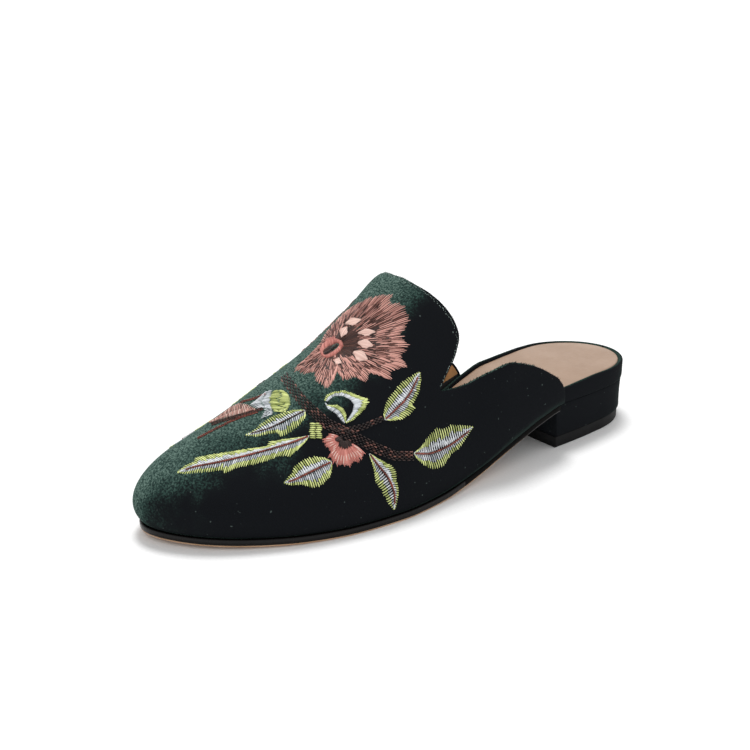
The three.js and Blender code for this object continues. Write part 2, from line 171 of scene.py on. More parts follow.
# place, way round, half length along the foot, half width round, depth: below zero is a trough
CREASES: Table = (
    (0.655, 0.55, 5.0, 0.24, -0.35), (0.69, 0.52, 6.0, 0.26, 0.3), (0.735, 0.6, 6.0, 0.22, -0.25),
    (0.64, -0.5, 5.0, 0.24, -0.3), (0.7, -0.55, 6.0, 0.24, 0.25), (0.545, 0.5, 4.0, 0.1, -0.25),
    (0.83, 0.1, 7.0, 0.3, 0.25), (0.6, 0.05, 6.0, 0.2, -0.25), (0.43, 0.9, 9.0, 0.08, 0.25),
    (0.47, -0.88, 8.0, 0.08, 0.2),
)


@dataclass
class Last:
    """The form that the slipper is made on, in the same sizes as its solids."""

    length: float = 247.5
    ball_width: float = 75.2
    toe_swing: float = 9.0
    seat_height: float = 21.0
    shank_drop: float = 1.7
    toe_spring: float = 2.0
    instep_height: float = 88.4
    instep_lean: float = 10.0
    quarter_flare: float = 2.6
    toe_overhang: float = 4.0
    side_swell: float = 1.2
    swell_height: float = 26.0
    swell_reach: float = 70.0
    swell_lowness: float = 0.75
    lean_power: float = 1.5
    flare_rise: float = 0.42
    flare_start: float = 0.1
    toe_round: float = 85.0
    toe_rise: float = 27.0
    toe_bluntness: float = 2.2
    heel_round: float = 34.0
    sole: float = 3.0
    gap: float = 0.3
    wall: float = 2.0
    seat_thickness: float = 8.0
    bed_thickness: float = 3.2
    breast: float = 68.5
    rim_rise: float = 1.3
    rim_rest: float = 0.2
    edge_roll: tuple[float, float] = (0.4, 1.7)
    roll_reach: tuple[float, float] = (1.7, 1.8)
    roll_width: float = 0.28
    edge_smoothing: float = 0.012
    quarter_smoothing: float = 0.03
    quarter_start: float = 0.74
    quarter_blend: float = 0.05
    centring: tuple[float, float] = (-1.688, 2.670)
    columns: dict[str, Curve] = field(default_factory=dict)

    def __post_init__(self) -> None:
        """Reads the tables into curves."""
        sources = {
            "centre": (PLAN, 1), "half": (PLAN, 2), "arch": (UNDERSIDE, 1), "spring": (UNDERSIDE, 2),
            "height": (SECTIONS, 1), "square": (SECTIONS, 2), "lean": (SECTIONS, 3), "flare": (SECTIONS, 4),
            "outer": (EDGE, 1), "inner": (EDGE, 2), "thick": (SOCK_TOP, 1), "crown": (RIM, 1),
        }
        self.columns = {name: Curve(rows, column) for name, (rows, column) in sources.items()}
        self.heel_back = self.length / 2
        self.toe_tip = -self.length / 2
        self.breast_y = self.heel_back - self.breast

    def share(self, y: np.ndarray) -> np.ndarray:
        """Place from the heel back (0) to the toe tip (1)."""
        return (self.heel_back - y) / self.length

    def place(self, share: np.ndarray) -> np.ndarray:
        """The y of a place."""
        return self.heel_back - share * self.length

    @staticmethod
    def round_in(distance: np.ndarray, reach: float, power: float) -> np.ndarray:
        """A share that rises from 0 to 1 over a reach, as a round end does."""
        return (1 - (1 - np.clip(distance / reach, 0, 1)) ** power) ** (1 / power)

    def centre(self, y: np.ndarray) -> np.ndarray:
        """The middle of the sole line."""
        return self.toe_swing * self.columns["centre"](self.share(y))

    def half(self, y: np.ndarray) -> np.ndarray:
        """Half the width of the sole line, which closes in an arc at the heel and at the toe.

        Args:
            y: Places along the foot.

        Returns:
            Half the width at each.
        """
        full = self.ball_width / 2 * self.columns["half"](self.share(y))
        toe = self.round_in(y - self.toe_tip, self.toe_round, 2)
        return full * toe * self.round_in(self.heel_back - y, self.heel_round, 2)

    def underside(self, y: np.ndarray) -> np.ndarray:
        """Height of the outsole's underside."""
        arch = (self.seat_height - self.shank_drop) * self.columns["arch"](self.share(y))
        return arch + self.toe_spring * self.columns["spring"](self.share(y))

    def sole_top(self, y: np.ndarray) -> np.ndarray:
        """Top of the outsole, where the upper's edge and the footbed rest."""
        slope = self.underside(y + 0.5) - self.underside(y - 0.5)
        return self.underside(y) + self.sole * np.hypot(1, slope)

    def sock_top(self, y: np.ndarray) -> np.ndarray:
        """Top of the leather sock, on the footbed's thickness at the ball and at the heel.

        Args:
            y: Places along the foot.

        Returns:
            Its height at each.
        """
        ball = self.sole + self.gap + self.bed_thickness
        heel = self.shank_drop + self.seat_thickness
        return self.underside(y) + ball + (heel - ball) * self.columns["thick"](self.share(y))

    def rim_top(self, y: np.ndarray) -> np.ndarray:
        """Top of the padded rim round the sock."""
        crown = self.columns["crown"](self.share(y))
        return self.sock_top(y) + self.rim_rest + (self.rim_rise - self.rim_rest) * crown

    def rise(self, y: np.ndarray) -> np.ndarray:
        """Height of the instep above the sole."""
        toe = self.round_in(y - self.toe_tip, self.toe_rise, self.toe_bluntness)
        return self.instep_height * self.columns["height"](self.share(y)) * toe

    def bare(self, y: np.ndarray, way: np.ndarray) -> np.ndarray:
        """Points of the last's surface.

        Args:
            y: Places along the foot.
            way: From -1 at the inner side's sole line over the ridge at 0 to 1 at the outer side's.

        Returns:
            Points, one for each pair.
        """
        share, side = self.share(y), np.sign(way)
        angle = np.abs(way) * math.pi / 2
        power = 2 / self.columns["square"](share)
        sine, cosine = np.sin(angle), np.maximum(np.cos(angle), 0)
        across, up = sine**power, cosine**power
        half, height = np.maximum(self.half(y), 1e-3), np.maximum(self.rise(y), 1e-3)
        lift = height * up
        ahead = 0.05
        widening = (self.half(y + ahead) - half) / ahead
        rising = (self.rise(y + ahead) - height) / ahead
        out_x = side * across ** (2 / power - 1) / half
        out_y = -(sine * sine * widening) / half - (cosine * cosine * rising) / height
        length = np.maximum(np.hypot(out_x, out_y), 1e-9)
        swell = np.sin(math.pi * np.minimum(lift / self.swell_height, 1) ** self.swell_lowness)
        behind = np.clip((y - self.toe_tip) / self.swell_reach, 0, 1)
        toe_share = (1 - behind) ** 2
        amount = swell * (self.toe_overhang * toe_share + self.side_swell * (1 - toe_share))
        lean = self.instep_lean * self.columns["lean"](share) * up**self.lean_power
        flare = self.quarter_flare * self.columns["flare"](share) * np.minimum(up / self.flare_rise, 1)
        flare = flare * np.minimum(np.abs(way) / self.flare_start, 1)
        x = self.centre(y) + side * (half * across + flare) - lean + out_x / length * amount
        along = y + out_y / length * amount * (1 - behind)
        z = self.sole_top(y) + lift + self.gap
        return np.stack([x + self.centring[0], along + self.centring[1], z], axis=-1)

    def normal(self, y: np.ndarray, way: np.ndarray) -> np.ndarray:
        """Outward directions of the last's surface.

        Args:
            y: Places along the foot.
            way: Ways round the section.

        Returns:
            Unit vectors.
        """
        step, turn = 0.2, 0.004
        y = np.clip(y, self.toe_tip + 0.3, self.heel_back)
        along = self.bare(y + step, way) - self.bare(y - step, way)
        round_it = self.bare(y, np.minimum(way + turn, 1)) - self.bare(y, np.maximum(way - turn, -1))
        return unit(np.cross(round_it, along))

    def surface(self, y: np.ndarray, way: np.ndarray) -> np.ndarray:
        """The last's surface with the soft troughs and ridges that the cloth has taken.

        Args:
            y: Places along the foot.
            way: Ways round the section.

        Returns:
            Points.
        """
        depth = np.zeros(np.broadcast(y, way).shape)
        for place, middle, reach, width, amount in CREASES:
            along = (y - self.place(place)) / reach
            depth = depth + amount * np.exp(-(along**2) - ((way - middle) / width) ** 2)
        from_edge = np.maximum(self.edge(way) - y, 0)
        # The folded edge turns in everywhere, and most at the top of the tongue.
        top = np.exp(-((way / self.roll_width) ** 2))
        roll, reach = (low + more * top for low, more in (self.edge_roll, self.roll_reach))
        depth = depth - roll * np.exp(-from_edge / reach)
        return self.bare(y, way) + self.normal(y, way) * depth[..., None]

    def edge(self, way: np.ndarray) -> np.ndarray:
        """The y of the throat's edge, a little smoothed, most where it runs back along the quarter.

        Args:
            way: Ways round the section.

        Returns:
            The y of each.
        """
        way = np.asarray(way, float)
        steps = np.array([-1.0, -0.5, 0.0, 0.5, 1.0])
        on_quarter = np.clip((np.abs(way) - self.quarter_start) / self.quarter_blend, 0, 1)
        spread = self.edge_smoothing + self.quarter_smoothing * on_quarter
        near = np.abs(np.abs(way)[..., None] + spread[..., None] * steps)
        outer, inner = self.columns["outer"](near).mean(-1), self.columns["inner"](near).mean(-1)
        return self.place(np.where(way >= 0, outer, inner))

    def walked(self, ways: np.ndarray) -> np.ndarray:
        """Distance along the throat's edge from the first of a row of ways to each."""
        return run_lengths(self.surface(self.edge(ways), ways))


@dataclass(frozen=True)
class Eye:
    """The camera that took the picture, fitted to the slipper's outline, in the slipper's frame."""

    azimuth: float = 54.441
    elevation: float = 19.03
    roll: float = -0.865
    distance: float = 400.0
    focal_pixels: float = 919.427
    pixels: int = 750
    slide: tuple[float, float] = (-18.137, 19.249)
    aim: tuple[float, float, float] = (-1.688, 1.320, 20.0)
    sensor: float = 36.0

    def axes(self) -> np.ndarray:
        """Works out the camera's own directions.

        Returns:
            Right, up and back, as rows.
        """
        a, e, roll = (math.radians(v) for v in (self.azimuth, self.elevation, self.roll))
        back = np.array([math.sin(a) * math.cos(e), -math.cos(a) * math.cos(e), math.sin(e)])
        right = np.array([math.cos(a), math.sin(a), 0.0])
        up = np.cross(back, right)
        turned = right * math.cos(roll) + up * math.sin(roll)
        return np.array([turned, up * math.cos(roll) - right * math.sin(roll), back])

    def position(self) -> np.ndarray:
        """Works out where the camera stands.

        Returns:
            Its place in millimetres.
        """
        a = math.radians(self.azimuth)
        right, back = np.array([math.cos(a), math.sin(a), 0.0]), self.axes()[2]
        target = np.array(self.aim) + right * self.slide[0] + np.cross(back, right) * self.slide[1]
        return target + back * self.distance

    def ray(self, x: float, y: float) -> np.ndarray:
        """Direction from the camera through a pixel.

        Args:
            x: Pixels from the picture's left edge.
            y: Pixels from its top edge.

        Returns:
            A unit vector.
        """
        right, up, back = self.axes()
        middle = self.pixels / 2
        across, over = (x - middle) / self.focal_pixels, (middle - y) / self.focal_pixels
        return unit(right * across + up * over - back)

    def build(self) -> None:
        """Makes the camera and hands it to the scene."""
        data = bpy.data.cameras.new("studio_camera")
        data.sensor_width = self.sensor
        data.lens = self.focal_pixels * self.sensor / self.pixels
        data.clip_start, data.clip_end = 0.01, 50
        camera = bpy.data.objects.new("studio_camera", data)
        matrix = Matrix(self.axes().T.tolist()).to_4x4()
        matrix.translation = Vector(self.position() * MM)
        camera.matrix_world = matrix
        bpy.context.scene.collection.objects.link(camera)
        bpy.context.scene.camera = camera


def add(tree: bpy.types.NodeTree, kind: str, settings: dict | None = None, **links: object) -> bpy.types.Node:
    """Adds a shader node with its settings and what feeds it.

    Args:
        tree: Node tree that takes the node.
        kind: The node's type name.
        settings: Properties of the node by name; "stops" holds a colour ramp's places and hex colours.
        **links: Value or output socket for each input, underscores standing for spaces; i0, i1 and so on
            are inputs by number.

    Returns:
        The new node.
    """
    node = tree.nodes.new(kind)
    settings = dict(settings or {})
    for k, (place, colour) in enumerate(settings.pop("stops", ())):
        elements = node.color_ramp.elements
        element = elements[k] if k < 2 else elements.new(place)
        element.position, element.color = place, linear(colour)
    for name, value in settings.items():
        setattr(node, name, value)
    for name, value in links.items():
        key = int(name[1:]) if name[0] == "i" and name[1:].isdigit() else name.replace("_", " ")
        if isinstance(value, bpy.types.NodeSocket):
            tree.links.new(value, node.inputs[key])
        else:
            node.inputs[key].default_value = value
    return node


@dataclass(frozen=True)
class Finish:
    """What every finish shares: its name, how its nodes start and where they end."""

    name: str

    def start(self) -> tuple[bpy.types.Material, bpy.types.NodeTree, bpy.types.NodeSocket]:
        """Makes an empty material.

        Returns:
            The material, its tree and coordinates in metres.
        """
        material = bpy.data.materials.new(self.name)
        material.use_nodes = True
        tree = material.node_tree
        tree.nodes.clear()
        place = add(tree, "ShaderNodeTexCoord").outputs["Object"]
        return material, tree, place

    @staticmethod
    def close(tree: bpy.types.NodeTree, surface: bpy.types.Node) -> None:
        """Sends the surface to the material's output."""
        add(tree, "ShaderNodeOutputMaterial", None, Surface=surface.outputs[0])


@dataclass(frozen=True)
class Velvet(Finish):
    """Cut-pile cotton velvet, dyed bottle green, near black, with painted light on the faces turned towards
    the light.
    """

    deep: str = "#121417"
    first_light: str = "#151a1b"
    middle: str = "#2b403b"
    lit: str = "#667c73"
    # The direction that the painted light comes from: towards the toe, the inner side and up.
    lay: tuple[float, float, float] = (-0.5, -0.58, 0.62)
    sheen: float = 0.12
    tint: str = "#84b3a3"

    def material(self) -> bpy.types.Material:
        """Builds the velvet's material.

        Returns:
            The material, with painted light: bright where its faces turn towards the light's direction.
        """
        material, tree, place = self.start()
        # Painted light: faces turned towards the light, which lies towards the toe, the inner side and up,
        # are painted lighter green; the rest stays near black.
        normal = add(tree, "ShaderNodeNewGeometry").outputs["Normal"]
        facing = add(tree, "ShaderNodeVectorMath", {"operation": "DOT_PRODUCT"}, i0=normal, i1=self.lay)
        # Hands and the last leave the pile lying in soft patches, about 15 mm across, which shift where the
        # painted light falls.
        patch = add(tree, "ShaderNodeTexNoise", None, Vector=place, Scale=70.0, Detail=3.0, Roughness=0.55)
        shifted = add(
            tree, "ShaderNodeMath", {"operation": "MULTIPLY_ADD"},
            i0=patch.outputs["Fac"], i1=0.8, i2=-0.4,
        )
        turned = add(tree, "ShaderNodeMath", None, i0=facing.outputs["Value"], i1=shifted.outputs[0])
        # Painted sheen: the lowest centimetre of the toe, most at its tip, is painted lighter, standing in
        # for the pile's sheen at grazing angles.
        split = add(tree, "ShaderNodeSeparateXYZ", None, Vector=place)
        low = add(
            tree, "ShaderNodeMapRange", None, Value=split.outputs["Z"], From_Min=0.017, From_Max=0.007
        )
        tip = add(
            tree, "ShaderNodeMapRange", None,
            Value=split.outputs["Y"], From_Min=-0.088, From_Max=-0.112, To_Min=0.0, To_Max=0.38,
        )
        turned = add(
            tree, "ShaderNodeMath", {"operation": "MULTIPLY_ADD"},
            i0=low.outputs[0], i1=tip.outputs[0], i2=turned.outputs[0],
        )
        # How much painted light each place takes, from none to full.
        painted_light = add(
            tree, "ShaderNodeMapRange", {"interpolation_type": "SMOOTHSTEP"},
            Value=turned.outputs[0], From_Min=0.13, From_Max=0.95,
        )
        # Tuft ends are 0.1 mm; drawn at about 0.7 mm so that they survive at this picture size.
        tufts = add(tree, "ShaderNodeTexNoise", None, Vector=place, Scale=1350.0, Detail=2.0, Roughness=0.7)
        grain = add(
            tree, "ShaderNodeMapRange", None,
            Value=tufts.outputs["Fac"], From_Min=0.42, From_Max=0.7, To_Min=0.2, To_Max=1.2,
        )
        # The tufts fleck the painted light, most where it is brightest.
        speckled = add(
            tree, "ShaderNodeMath", {"operation": "MULTIPLY"}, i0=painted_light.outputs[0], i1=grain.outputs[0]
        )
        shades = [(0.0, self.deep), (0.05, self.first_light), (0.25, self.middle), (1.0, self.lit)]
        pile = add(tree, "ShaderNodeValToRGB", {"stops": shades}, Fac=speckled.outputs[0]).outputs["Color"]
        # A few pale lint specks have caught in the pile.
        lint = add(tree, "ShaderNodeTexNoise", None, Vector=place, Scale=620.0, Detail=1.0)
        motes = {"stops": [(0.75, "#000000"), (0.8, "#56625e")]}
        specks = add(tree, "ShaderNodeValToRGB", motes, Fac=lint.outputs["Fac"]).outputs["Color"]
        dusted = add(
            tree, "ShaderNodeMix", {"data_type": "RGBA", "blend_type": "ADD"}, Factor=0.5, i6=pile, i7=specks
        )
        bump = add(tree, "ShaderNodeBump", None, Strength=0.4, Distance=0.00025, Height=tufts.outputs["Fac"])
        surface = add(
            tree, "ShaderNodeBsdfPrincipled", None,
            Base_Color=dusted.outputs[2], Roughness=0.95, Specular_IOR_Level=0.05,
            Sheen_Weight=self.sheen, Sheen_Roughness=0.22, Sheen_Tint=linear(self.tint),
            Normal=bump.outputs["Normal"],
        )
        self.close(tree, surface)
        return material


@dataclass(frozen=True)
class Leather(Finish):
    """Vegetable-tanned leather, rolled smooth: a fine pebble under a thin wax."""

    light: str
    dark: str
    roughness: float
    grain: float = 1400.0
    depth: float = 0.00008
    coat: float = 0.0
    specular: float = 0.5
    blacked: bool = False
    faced: bool = False
    stain: str = "#141010"
    strip: str = "#141719"

    def material(self) -> bpy.types.Material:
        """Builds the leather's material.

        Returns:
            The material, stained behind the waist or with a black strip where its fields say so.
        """
        material, tree, place = self.start()
        # Dye takes unevenly over about 15 mm; the rubbed places are lighter.
        cloud = add(tree, "ShaderNodeTexNoise", None, Vector=place, Scale=60.0, Detail=4.0, Roughness=0.6)
        dyes = {"stops": [(0.3, self.dark), (0.7, self.light)]}
        colour = add(tree, "ShaderNodeValToRGB", dyes, Fac=cloud.outputs["Fac"]).outputs["Color"]
        if self.blacked:
            # The line under the waist is stained black towards the heel, as far as the hand can reach.
            split = add(tree, "ShaderNodeSeparateXYZ", None, Vector=place)
            stain = add(
                tree, "ShaderNodeMapRange", {"interpolation_type": "SMOOTHSTEP"},
                Value=split.outputs["Y"], From_Min=0.012, From_Max=0.04,
            )
            mixed = add(
                tree, "ShaderNodeMix", {"data_type": "RGBA"},
                Factor=stain.outputs[0], i6=colour, i7=linear(self.stain),
            )
            colour = mixed.outputs[2]
        if self.faced:
            # A black strip is glued over the lining's lower edge; it rises gently towards the heel.
            split = add(tree, "ShaderNodeSeparateXYZ", None, Vector=place)
            line = add(
                tree, "ShaderNodeMath", {"operation": "MULTIPLY_ADD"},
                i0=split.outputs["Y"], i1=-0.26, i2=split.outputs["Z"],
            )
            strip = add(
                tree, "ShaderNodeMapRange", None, Value=line.outputs[0], From_Min=0.0123, From_Max=0.0127
            )
            mixed = add(
                tree, "ShaderNodeMix", {"data_type": "RGBA"},
                Factor=strip.outputs[0], i6=linear(self.strip), i7=colour,
            )
            colour = mixed.outputs[2]
        # The real pores are about 0.2 mm; drawn at 0.7 mm.
        pores = add(tree, "ShaderNodeTexVoronoi", None, Vector=place, Scale=self.grain)
        fine = add(tree, "ShaderNodeTexNoise", None, Vector=place, Scale=self.grain * 0.5, Detail=3.0)
        heights = add(
            tree, "ShaderNodeMath", {"operation": "ADD"}, i0=pores.outputs["Distance"], i1=fine.outputs["Fac"]
        )
        bump = add(tree, "ShaderNodeBump", None, Strength=0.5, Distance=self.depth, Height=heights.outputs[0])
        rough = add(
            tree, "ShaderNodeMapRange", None,
            Value=fine.outputs["Fac"], To_Min=self.roughness - 0.07, To_Max=self.roughness + 0.1,
        )
        surface = add(
            tree, "ShaderNodeBsdfPrincipled", None,
            Base_Color=colour, Roughness=rough.outputs[0], IOR=1.5, Specular_IOR_Level=self.specular,
            Coat_Weight=self.coat, Coat_Roughness=0.2, Normal=bump.outputs["Normal"],
        )
        self.close(tree, surface)
        return material


@dataclass(frozen=True)
class Rubber(Finish):
    """Moulded rubber: dull, a little dusty, with fine scuffs from the floor."""

    body: str = "#0a0a0b"
    dust: str = "#131314"

    def material(self) -> bpy.types.Material:
        """Builds the rubber's material.

        Returns:
            The material.
        """
        material, tree, place = self.start()
        # Dust and scuffs come in clouds about 4 mm across, with finer ones in them.
        dust = add(tree, "ShaderNodeTexNoise", None, Vector=place, Scale=260.0, Detail=5.0, Roughness=0.7)
        greys = {"stops": [(0.4, self.body), (0.75, self.dust)]}
        colour = add(tree, "ShaderNodeValToRGB", greys, Fac=dust.outputs["Fac"]).outputs["Color"]
        bump = add(tree, "ShaderNodeBump", None, Strength=0.4, Distance=0.0001, Height=dust.outputs["Fac"])
        surface = add(
            tree, "ShaderNodeBsdfPrincipled", None,
            Base_Color=colour, Roughness=0.6, IOR=1.52, Specular_IOR_Level=0.12,
            Normal=bump.outputs["Normal"],
        )
        self.close(tree, surface)
        return material


@dataclass(frozen=True)
class Thread(Finish):
    """Machine embroidery thread: spun viscose whose filaments lie along it and shine."""

    dark: str
    light: str
    roughness: float = 0.42

    def material(self) -> bpy.types.Material:
        """Builds the thread's material; each stitch has its own tone, kept on the mesh.

        Returns:
            The material.
        """
        material, tree, place = self.start()
        tone = add(tree, "ShaderNodeAttribute", {"attribute_name": "tone"})
        tones = {"stops": [(0.0, self.dark), (1.0, self.light)]}
        colour = add(tree, "ShaderNodeValToRGB", tones, Fac=tone.outputs["Fac"]).outputs["Color"]
        # Two plies twist about each other every 0.4 mm.
        twist = add(tree, "ShaderNodeTexNoise", None, Vector=place, Scale=2600.0, Detail=2.0)
        bump = add(tree, "ShaderNodeBump", None, Strength=0.5, Distance=0.00012, Height=twist.outputs["Fac"])
        surface = add(
            tree, "ShaderNodeBsdfPrincipled", None,
            Base_Color=colour, Roughness=self.roughness, IOR=1.48, Specular_IOR_Level=0.3,
            Normal=bump.outputs["Normal"],
        )
        self.close(tree, surface)
        return material


class Cloth(Enum):
    """The slipper's velvets: the upper's, and the heel's, whose painted light is dimmer and sheen a little
    lower.
    """

    UPPER = Velvet("velvet_cut_pile")
    # The heel's velvet takes the same painted light, in dimmer colours.
    HEEL = Velvet("velvet_heel_cover", lit="#33463f", middle="#20302c", sheen=0.1)


class Hide(Enum):
    """The slipper's leathers, each with its finish."""

    LINING = Leather("lining_leather", "#c8965f", "#a97b4c", 0.6, faced=True)
    SOCK = Leather("sock_leather", "#9e836e", "#90745d", 0.46, coat=0.1)
    SOLE_EDGE = Leather("sole_edge_leather", "#0d0a0a", "#080707", 0.24, grain=900.0, specular=0.2)
    SOLE_WAIST = Leather("sole_waist_leather", "#0b0a0a", "#080707", 0.7, grain=900.0, specular=0.05)
    SOLE_TREAD = Leather("sole_tread_leather", "#c6a283", "#a3805f", 0.55, blacked=True)


class Silk(Enum):
    """The threads of the embroidery, each with its finish."""

    ROSE = Thread("thread_rose", "#76453d", "#dca598")
    PALE = Thread("thread_pale_pink", "#b98c80", "#e6c6ba")
    CORAL = Thread("thread_coral", "#965047", "#d0897e")
    UMBER = Thread("thread_umber", "#22120e", "#55332a")
    BARK = Thread("thread_bark", "#151010", "#3a2a27")
    BLUSH = Thread("thread_blush_brown", "#3f2723", "#835a50")
    LIME = Thread("thread_lime", "#77853a", "#e2eb9c")
    SILVER = Thread("thread_silver", "#949aa0", "#e6eaee")
    RIB = Thread("thread_red_brown", "#4e2018", "#8a4436")
    EDGE = Thread("thread_edge", "#46544f", "#8d9c96")


def make_mesh(
    name: str,
    points: np.ndarray,
    faces: Sequence[Sequence[int]],
    finish: bpy.types.Material,
    smooth: bool = True,
) -> bpy.types.Object:
    """Makes a mesh object from points in millimetres.

    Args:
        name: Name of the piece.
        points: Points, one a row.
        faces: Corner numbers of each face.
        finish: Its material.
        smooth: Whether its faces shade as one surface.

    Returns:
        The object, linked to the scene.
    """
    mesh = bpy.data.meshes.new(name)
    mesh.from_pydata((points * MM).tolist(), [], [list(map(int, f)) for f in faces])
    mesh.validate()
    mesh.polygons.foreach_set("use_smooth", [smooth] * len(mesh.polygons))
    mesh.materials.append(finish)
    mesh.update()
    thing = bpy.data.objects.new(name, mesh)
    bpy.context.scene.collection.objects.link(thing)
    return thing


def seat(thing: bpy.types.Object, node: str | None = None) -> None:
    """Puts a piece on the slipper's body and reports it.

    Args:
        thing: The piece.
        node: The solid that it stands for.
    """
    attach(thing, "root")
    if node:
        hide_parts(node)
    LOG.info("%s: %d faces", thing.name, len(thing.data.polygons))


def used(points: np.ndarray, faces: np.ndarray) -> tuple[np.ndarray, np.ndarray]:
    """Drops the points that no face uses, and gives the kept points and the renumbered faces."""
    kept, renumbered = np.unique(faces, return_inverse=True)
    return points[kept], renumbered.reshape(faces.shape)


@dataclass
class Upper:
    """The vamp with its tongue and low quarters: velvet folded over the edge onto a leather lining."""

    last: Last
    velvet: bpy.types.Material
    lining: bpy.types.Material
    pile: float = 0.3
    vamp_rows: int = 90
    throat_rows: int = 60
    lanes: int = 120
    fold_steps: int = 8
    fold_reach: float = 0.5
    fold_limit: float = 1.3
    notch: float = 0.69
    facing_end: float = 0.315
    turn_in: float = 0.8
    widening: float = 0.07
    vamp_end: float = 0.58
    toe_gathering: float = 1.9

    def ways(self) -> np.ndarray:
        """Spaces the ways round the section, a little wider about the notch, which is one of them.

        Returns:
            The ways, from -1 to 1.
        """
        steps = np.linspace(0, 1, self.lanes + 1)
        turns = 2 * math.pi * (steps - self.notch + 0.5)
        half = steps - self.widening * np.sin(turns) / math.pi
        half = (half - half[0]) / (half[-1] - half[0])
        half = np.unique(np.append(half, self.notch))
        return np.concatenate([-half[:0:-1], half])

    def sheet(self) -> tuple[np.ndarray, np.ndarray]:
        """Lays out the sheet.

        Returns:
            The y of each point by row and column, and the way round of each.
        """
        ways = self.ways()
        end = self.last.edge(ways)
        vamp_end = self.last.place(self.vamp_end)
        tip = self.last.toe_tip
        share = np.arange(1, self.vamp_rows + 1) / self.vamp_rows
        rows = [np.full_like(ways, y) for y in tip + (vamp_end - tip) * share**self.toe_gathering]
        share = np.arange(1, self.throat_rows + 1) / self.throat_rows
        rows += [vamp_end + (end - vamp_end) * s for s in share]
        y = np.array(rows)
        return y, np.broadcast_to(ways, y.shape)

    @staticmethod
    def faces(rows: int, count: int) -> np.ndarray:
        """Corner numbers of the quads over a grid with that many rows and points in a row."""
        a = (np.arange(rows - 1)[:, None] * count + np.arange(count - 1)).ravel()
        return np.stack([a, a + 1, a + count + 1, a + count], axis=1)

    def build(self) -> BVHTree:
        """Builds the velvet and its lining.

        Returns:
            A tree of the velvet's outer sheet, for laying stitches on it.
        """
        y, way = self.sheet()
        rows, count = y.shape
        skin, normals = self.last.surface(y, way), self.last.normal(y, way)
        outer = skin + normals * self.pile
        inward = -normals.copy()
        inward[:, [0, -1], 2] = 0
        inward = unit(inward)
        inner = self.last.bare(y, way) + inward * self.last.wall
        inner[:, [0, -1], 2] = outer[:, [0, -1], 2]
        fold = self.fold(outer, inner)
        points = np.concatenate([outer, fold, inner[::-1]]).reshape(-1, 3)
        total = rows + len(fold) + rows
        quads = self.faces(total, count)
        row, column = quads[:, 0] // count, quads[:, 0] % count
        flat = np.clip(total - 1 - row, 0, rows - 1)
        off_ridge = np.abs(way[flat, column] + way[flat, np.minimum(column + 1, count - 1)]) / 2
        inside = row >= rows + len(fold)
        from_edge = self.last.edge(way[flat, column]) - y[flat, column]
        # Velvet faces the rear of the quarters inside; the leather lines all in front of it.
        facing = (off_ridge > self.notch) & (self.last.share(y[flat, column]) < self.facing_end)
        leather = inside & ~facing & (from_edge > self.turn_in)
        caps = self.sole_strips(rows, count, total)
        shown, renumbered = used(points, np.concatenate([quads[~leather], caps]))
        seat(make_mesh("upper_velvet", shown, renumbered, self.velvet), "upper")
        shown, renumbered = used(points, quads[leather])
        seat(make_mesh("upper_lining", shown, renumbered, self.lining), "upper")
        outside = self.faces(rows, count)
        self.triangles = np.concatenate([outside[:, [0, 1, 2]], outside[:, [0, 2, 3]]])
        self.flat_y, self.flat_way = y.ravel(), way.ravel()
        self.flat_points = outer.reshape(-1, 3)
        return BVHTree.FromPolygons(self.flat_points.tolist(), self.triangles.tolist())

    def fold(self, outer: np.ndarray, inner: np.ndarray) -> np.ndarray:
        """The rounded edge where the velvet turns in.

        Args:
            outer: Outer sheet.
            inner: Inner sheet.

        Returns:
            Rows of points from the outer to the inner sheet's last row.
        """
        top, low = outer[-1], inner[-1]
        middle, half = (top + low) / 2, (top - low) / 2
        thick = np.linalg.norm(half, axis=1, keepdims=True)
        tangent = unit(np.gradient(middle, axis=0))
        outward = unit(np.cross(half, tangent))
        ahead = outer[-1] - outer[-2]
        outward = outward * np.sign(np.sum(outward * ahead, axis=1, keepdims=True))
        angles = np.linspace(0, math.pi, self.fold_steps + 2)[1:-1]
        reach = np.minimum(thick, self.fold_limit) * self.fold_reach
        return np.array([middle + half * math.cos(a) + outward * reach * math.sin(a) for a in angles])

    def sole_strips(self, rows: int, count: int, total: int) -> np.ndarray:
        """Closes the wall along the sole.

        Args:
            rows: Rows of one sheet.
            count: Points in a row.
            total: Rows of both sheets with the fold.

        Returns:
            Corner numbers of the closing faces.
        """
        strips = []
        for row in range(rows - 1):
            far = total - 1 - row
            for column, flip in ((0, False), (count - 1, True)):
                quad = [
                    row * count + column, (row + 1) * count + column,
                    (far - 1) * count + column, far * count + column,
                ]
                strips.append(quad[::-1] if flip else quad)
        return np.array(strips)


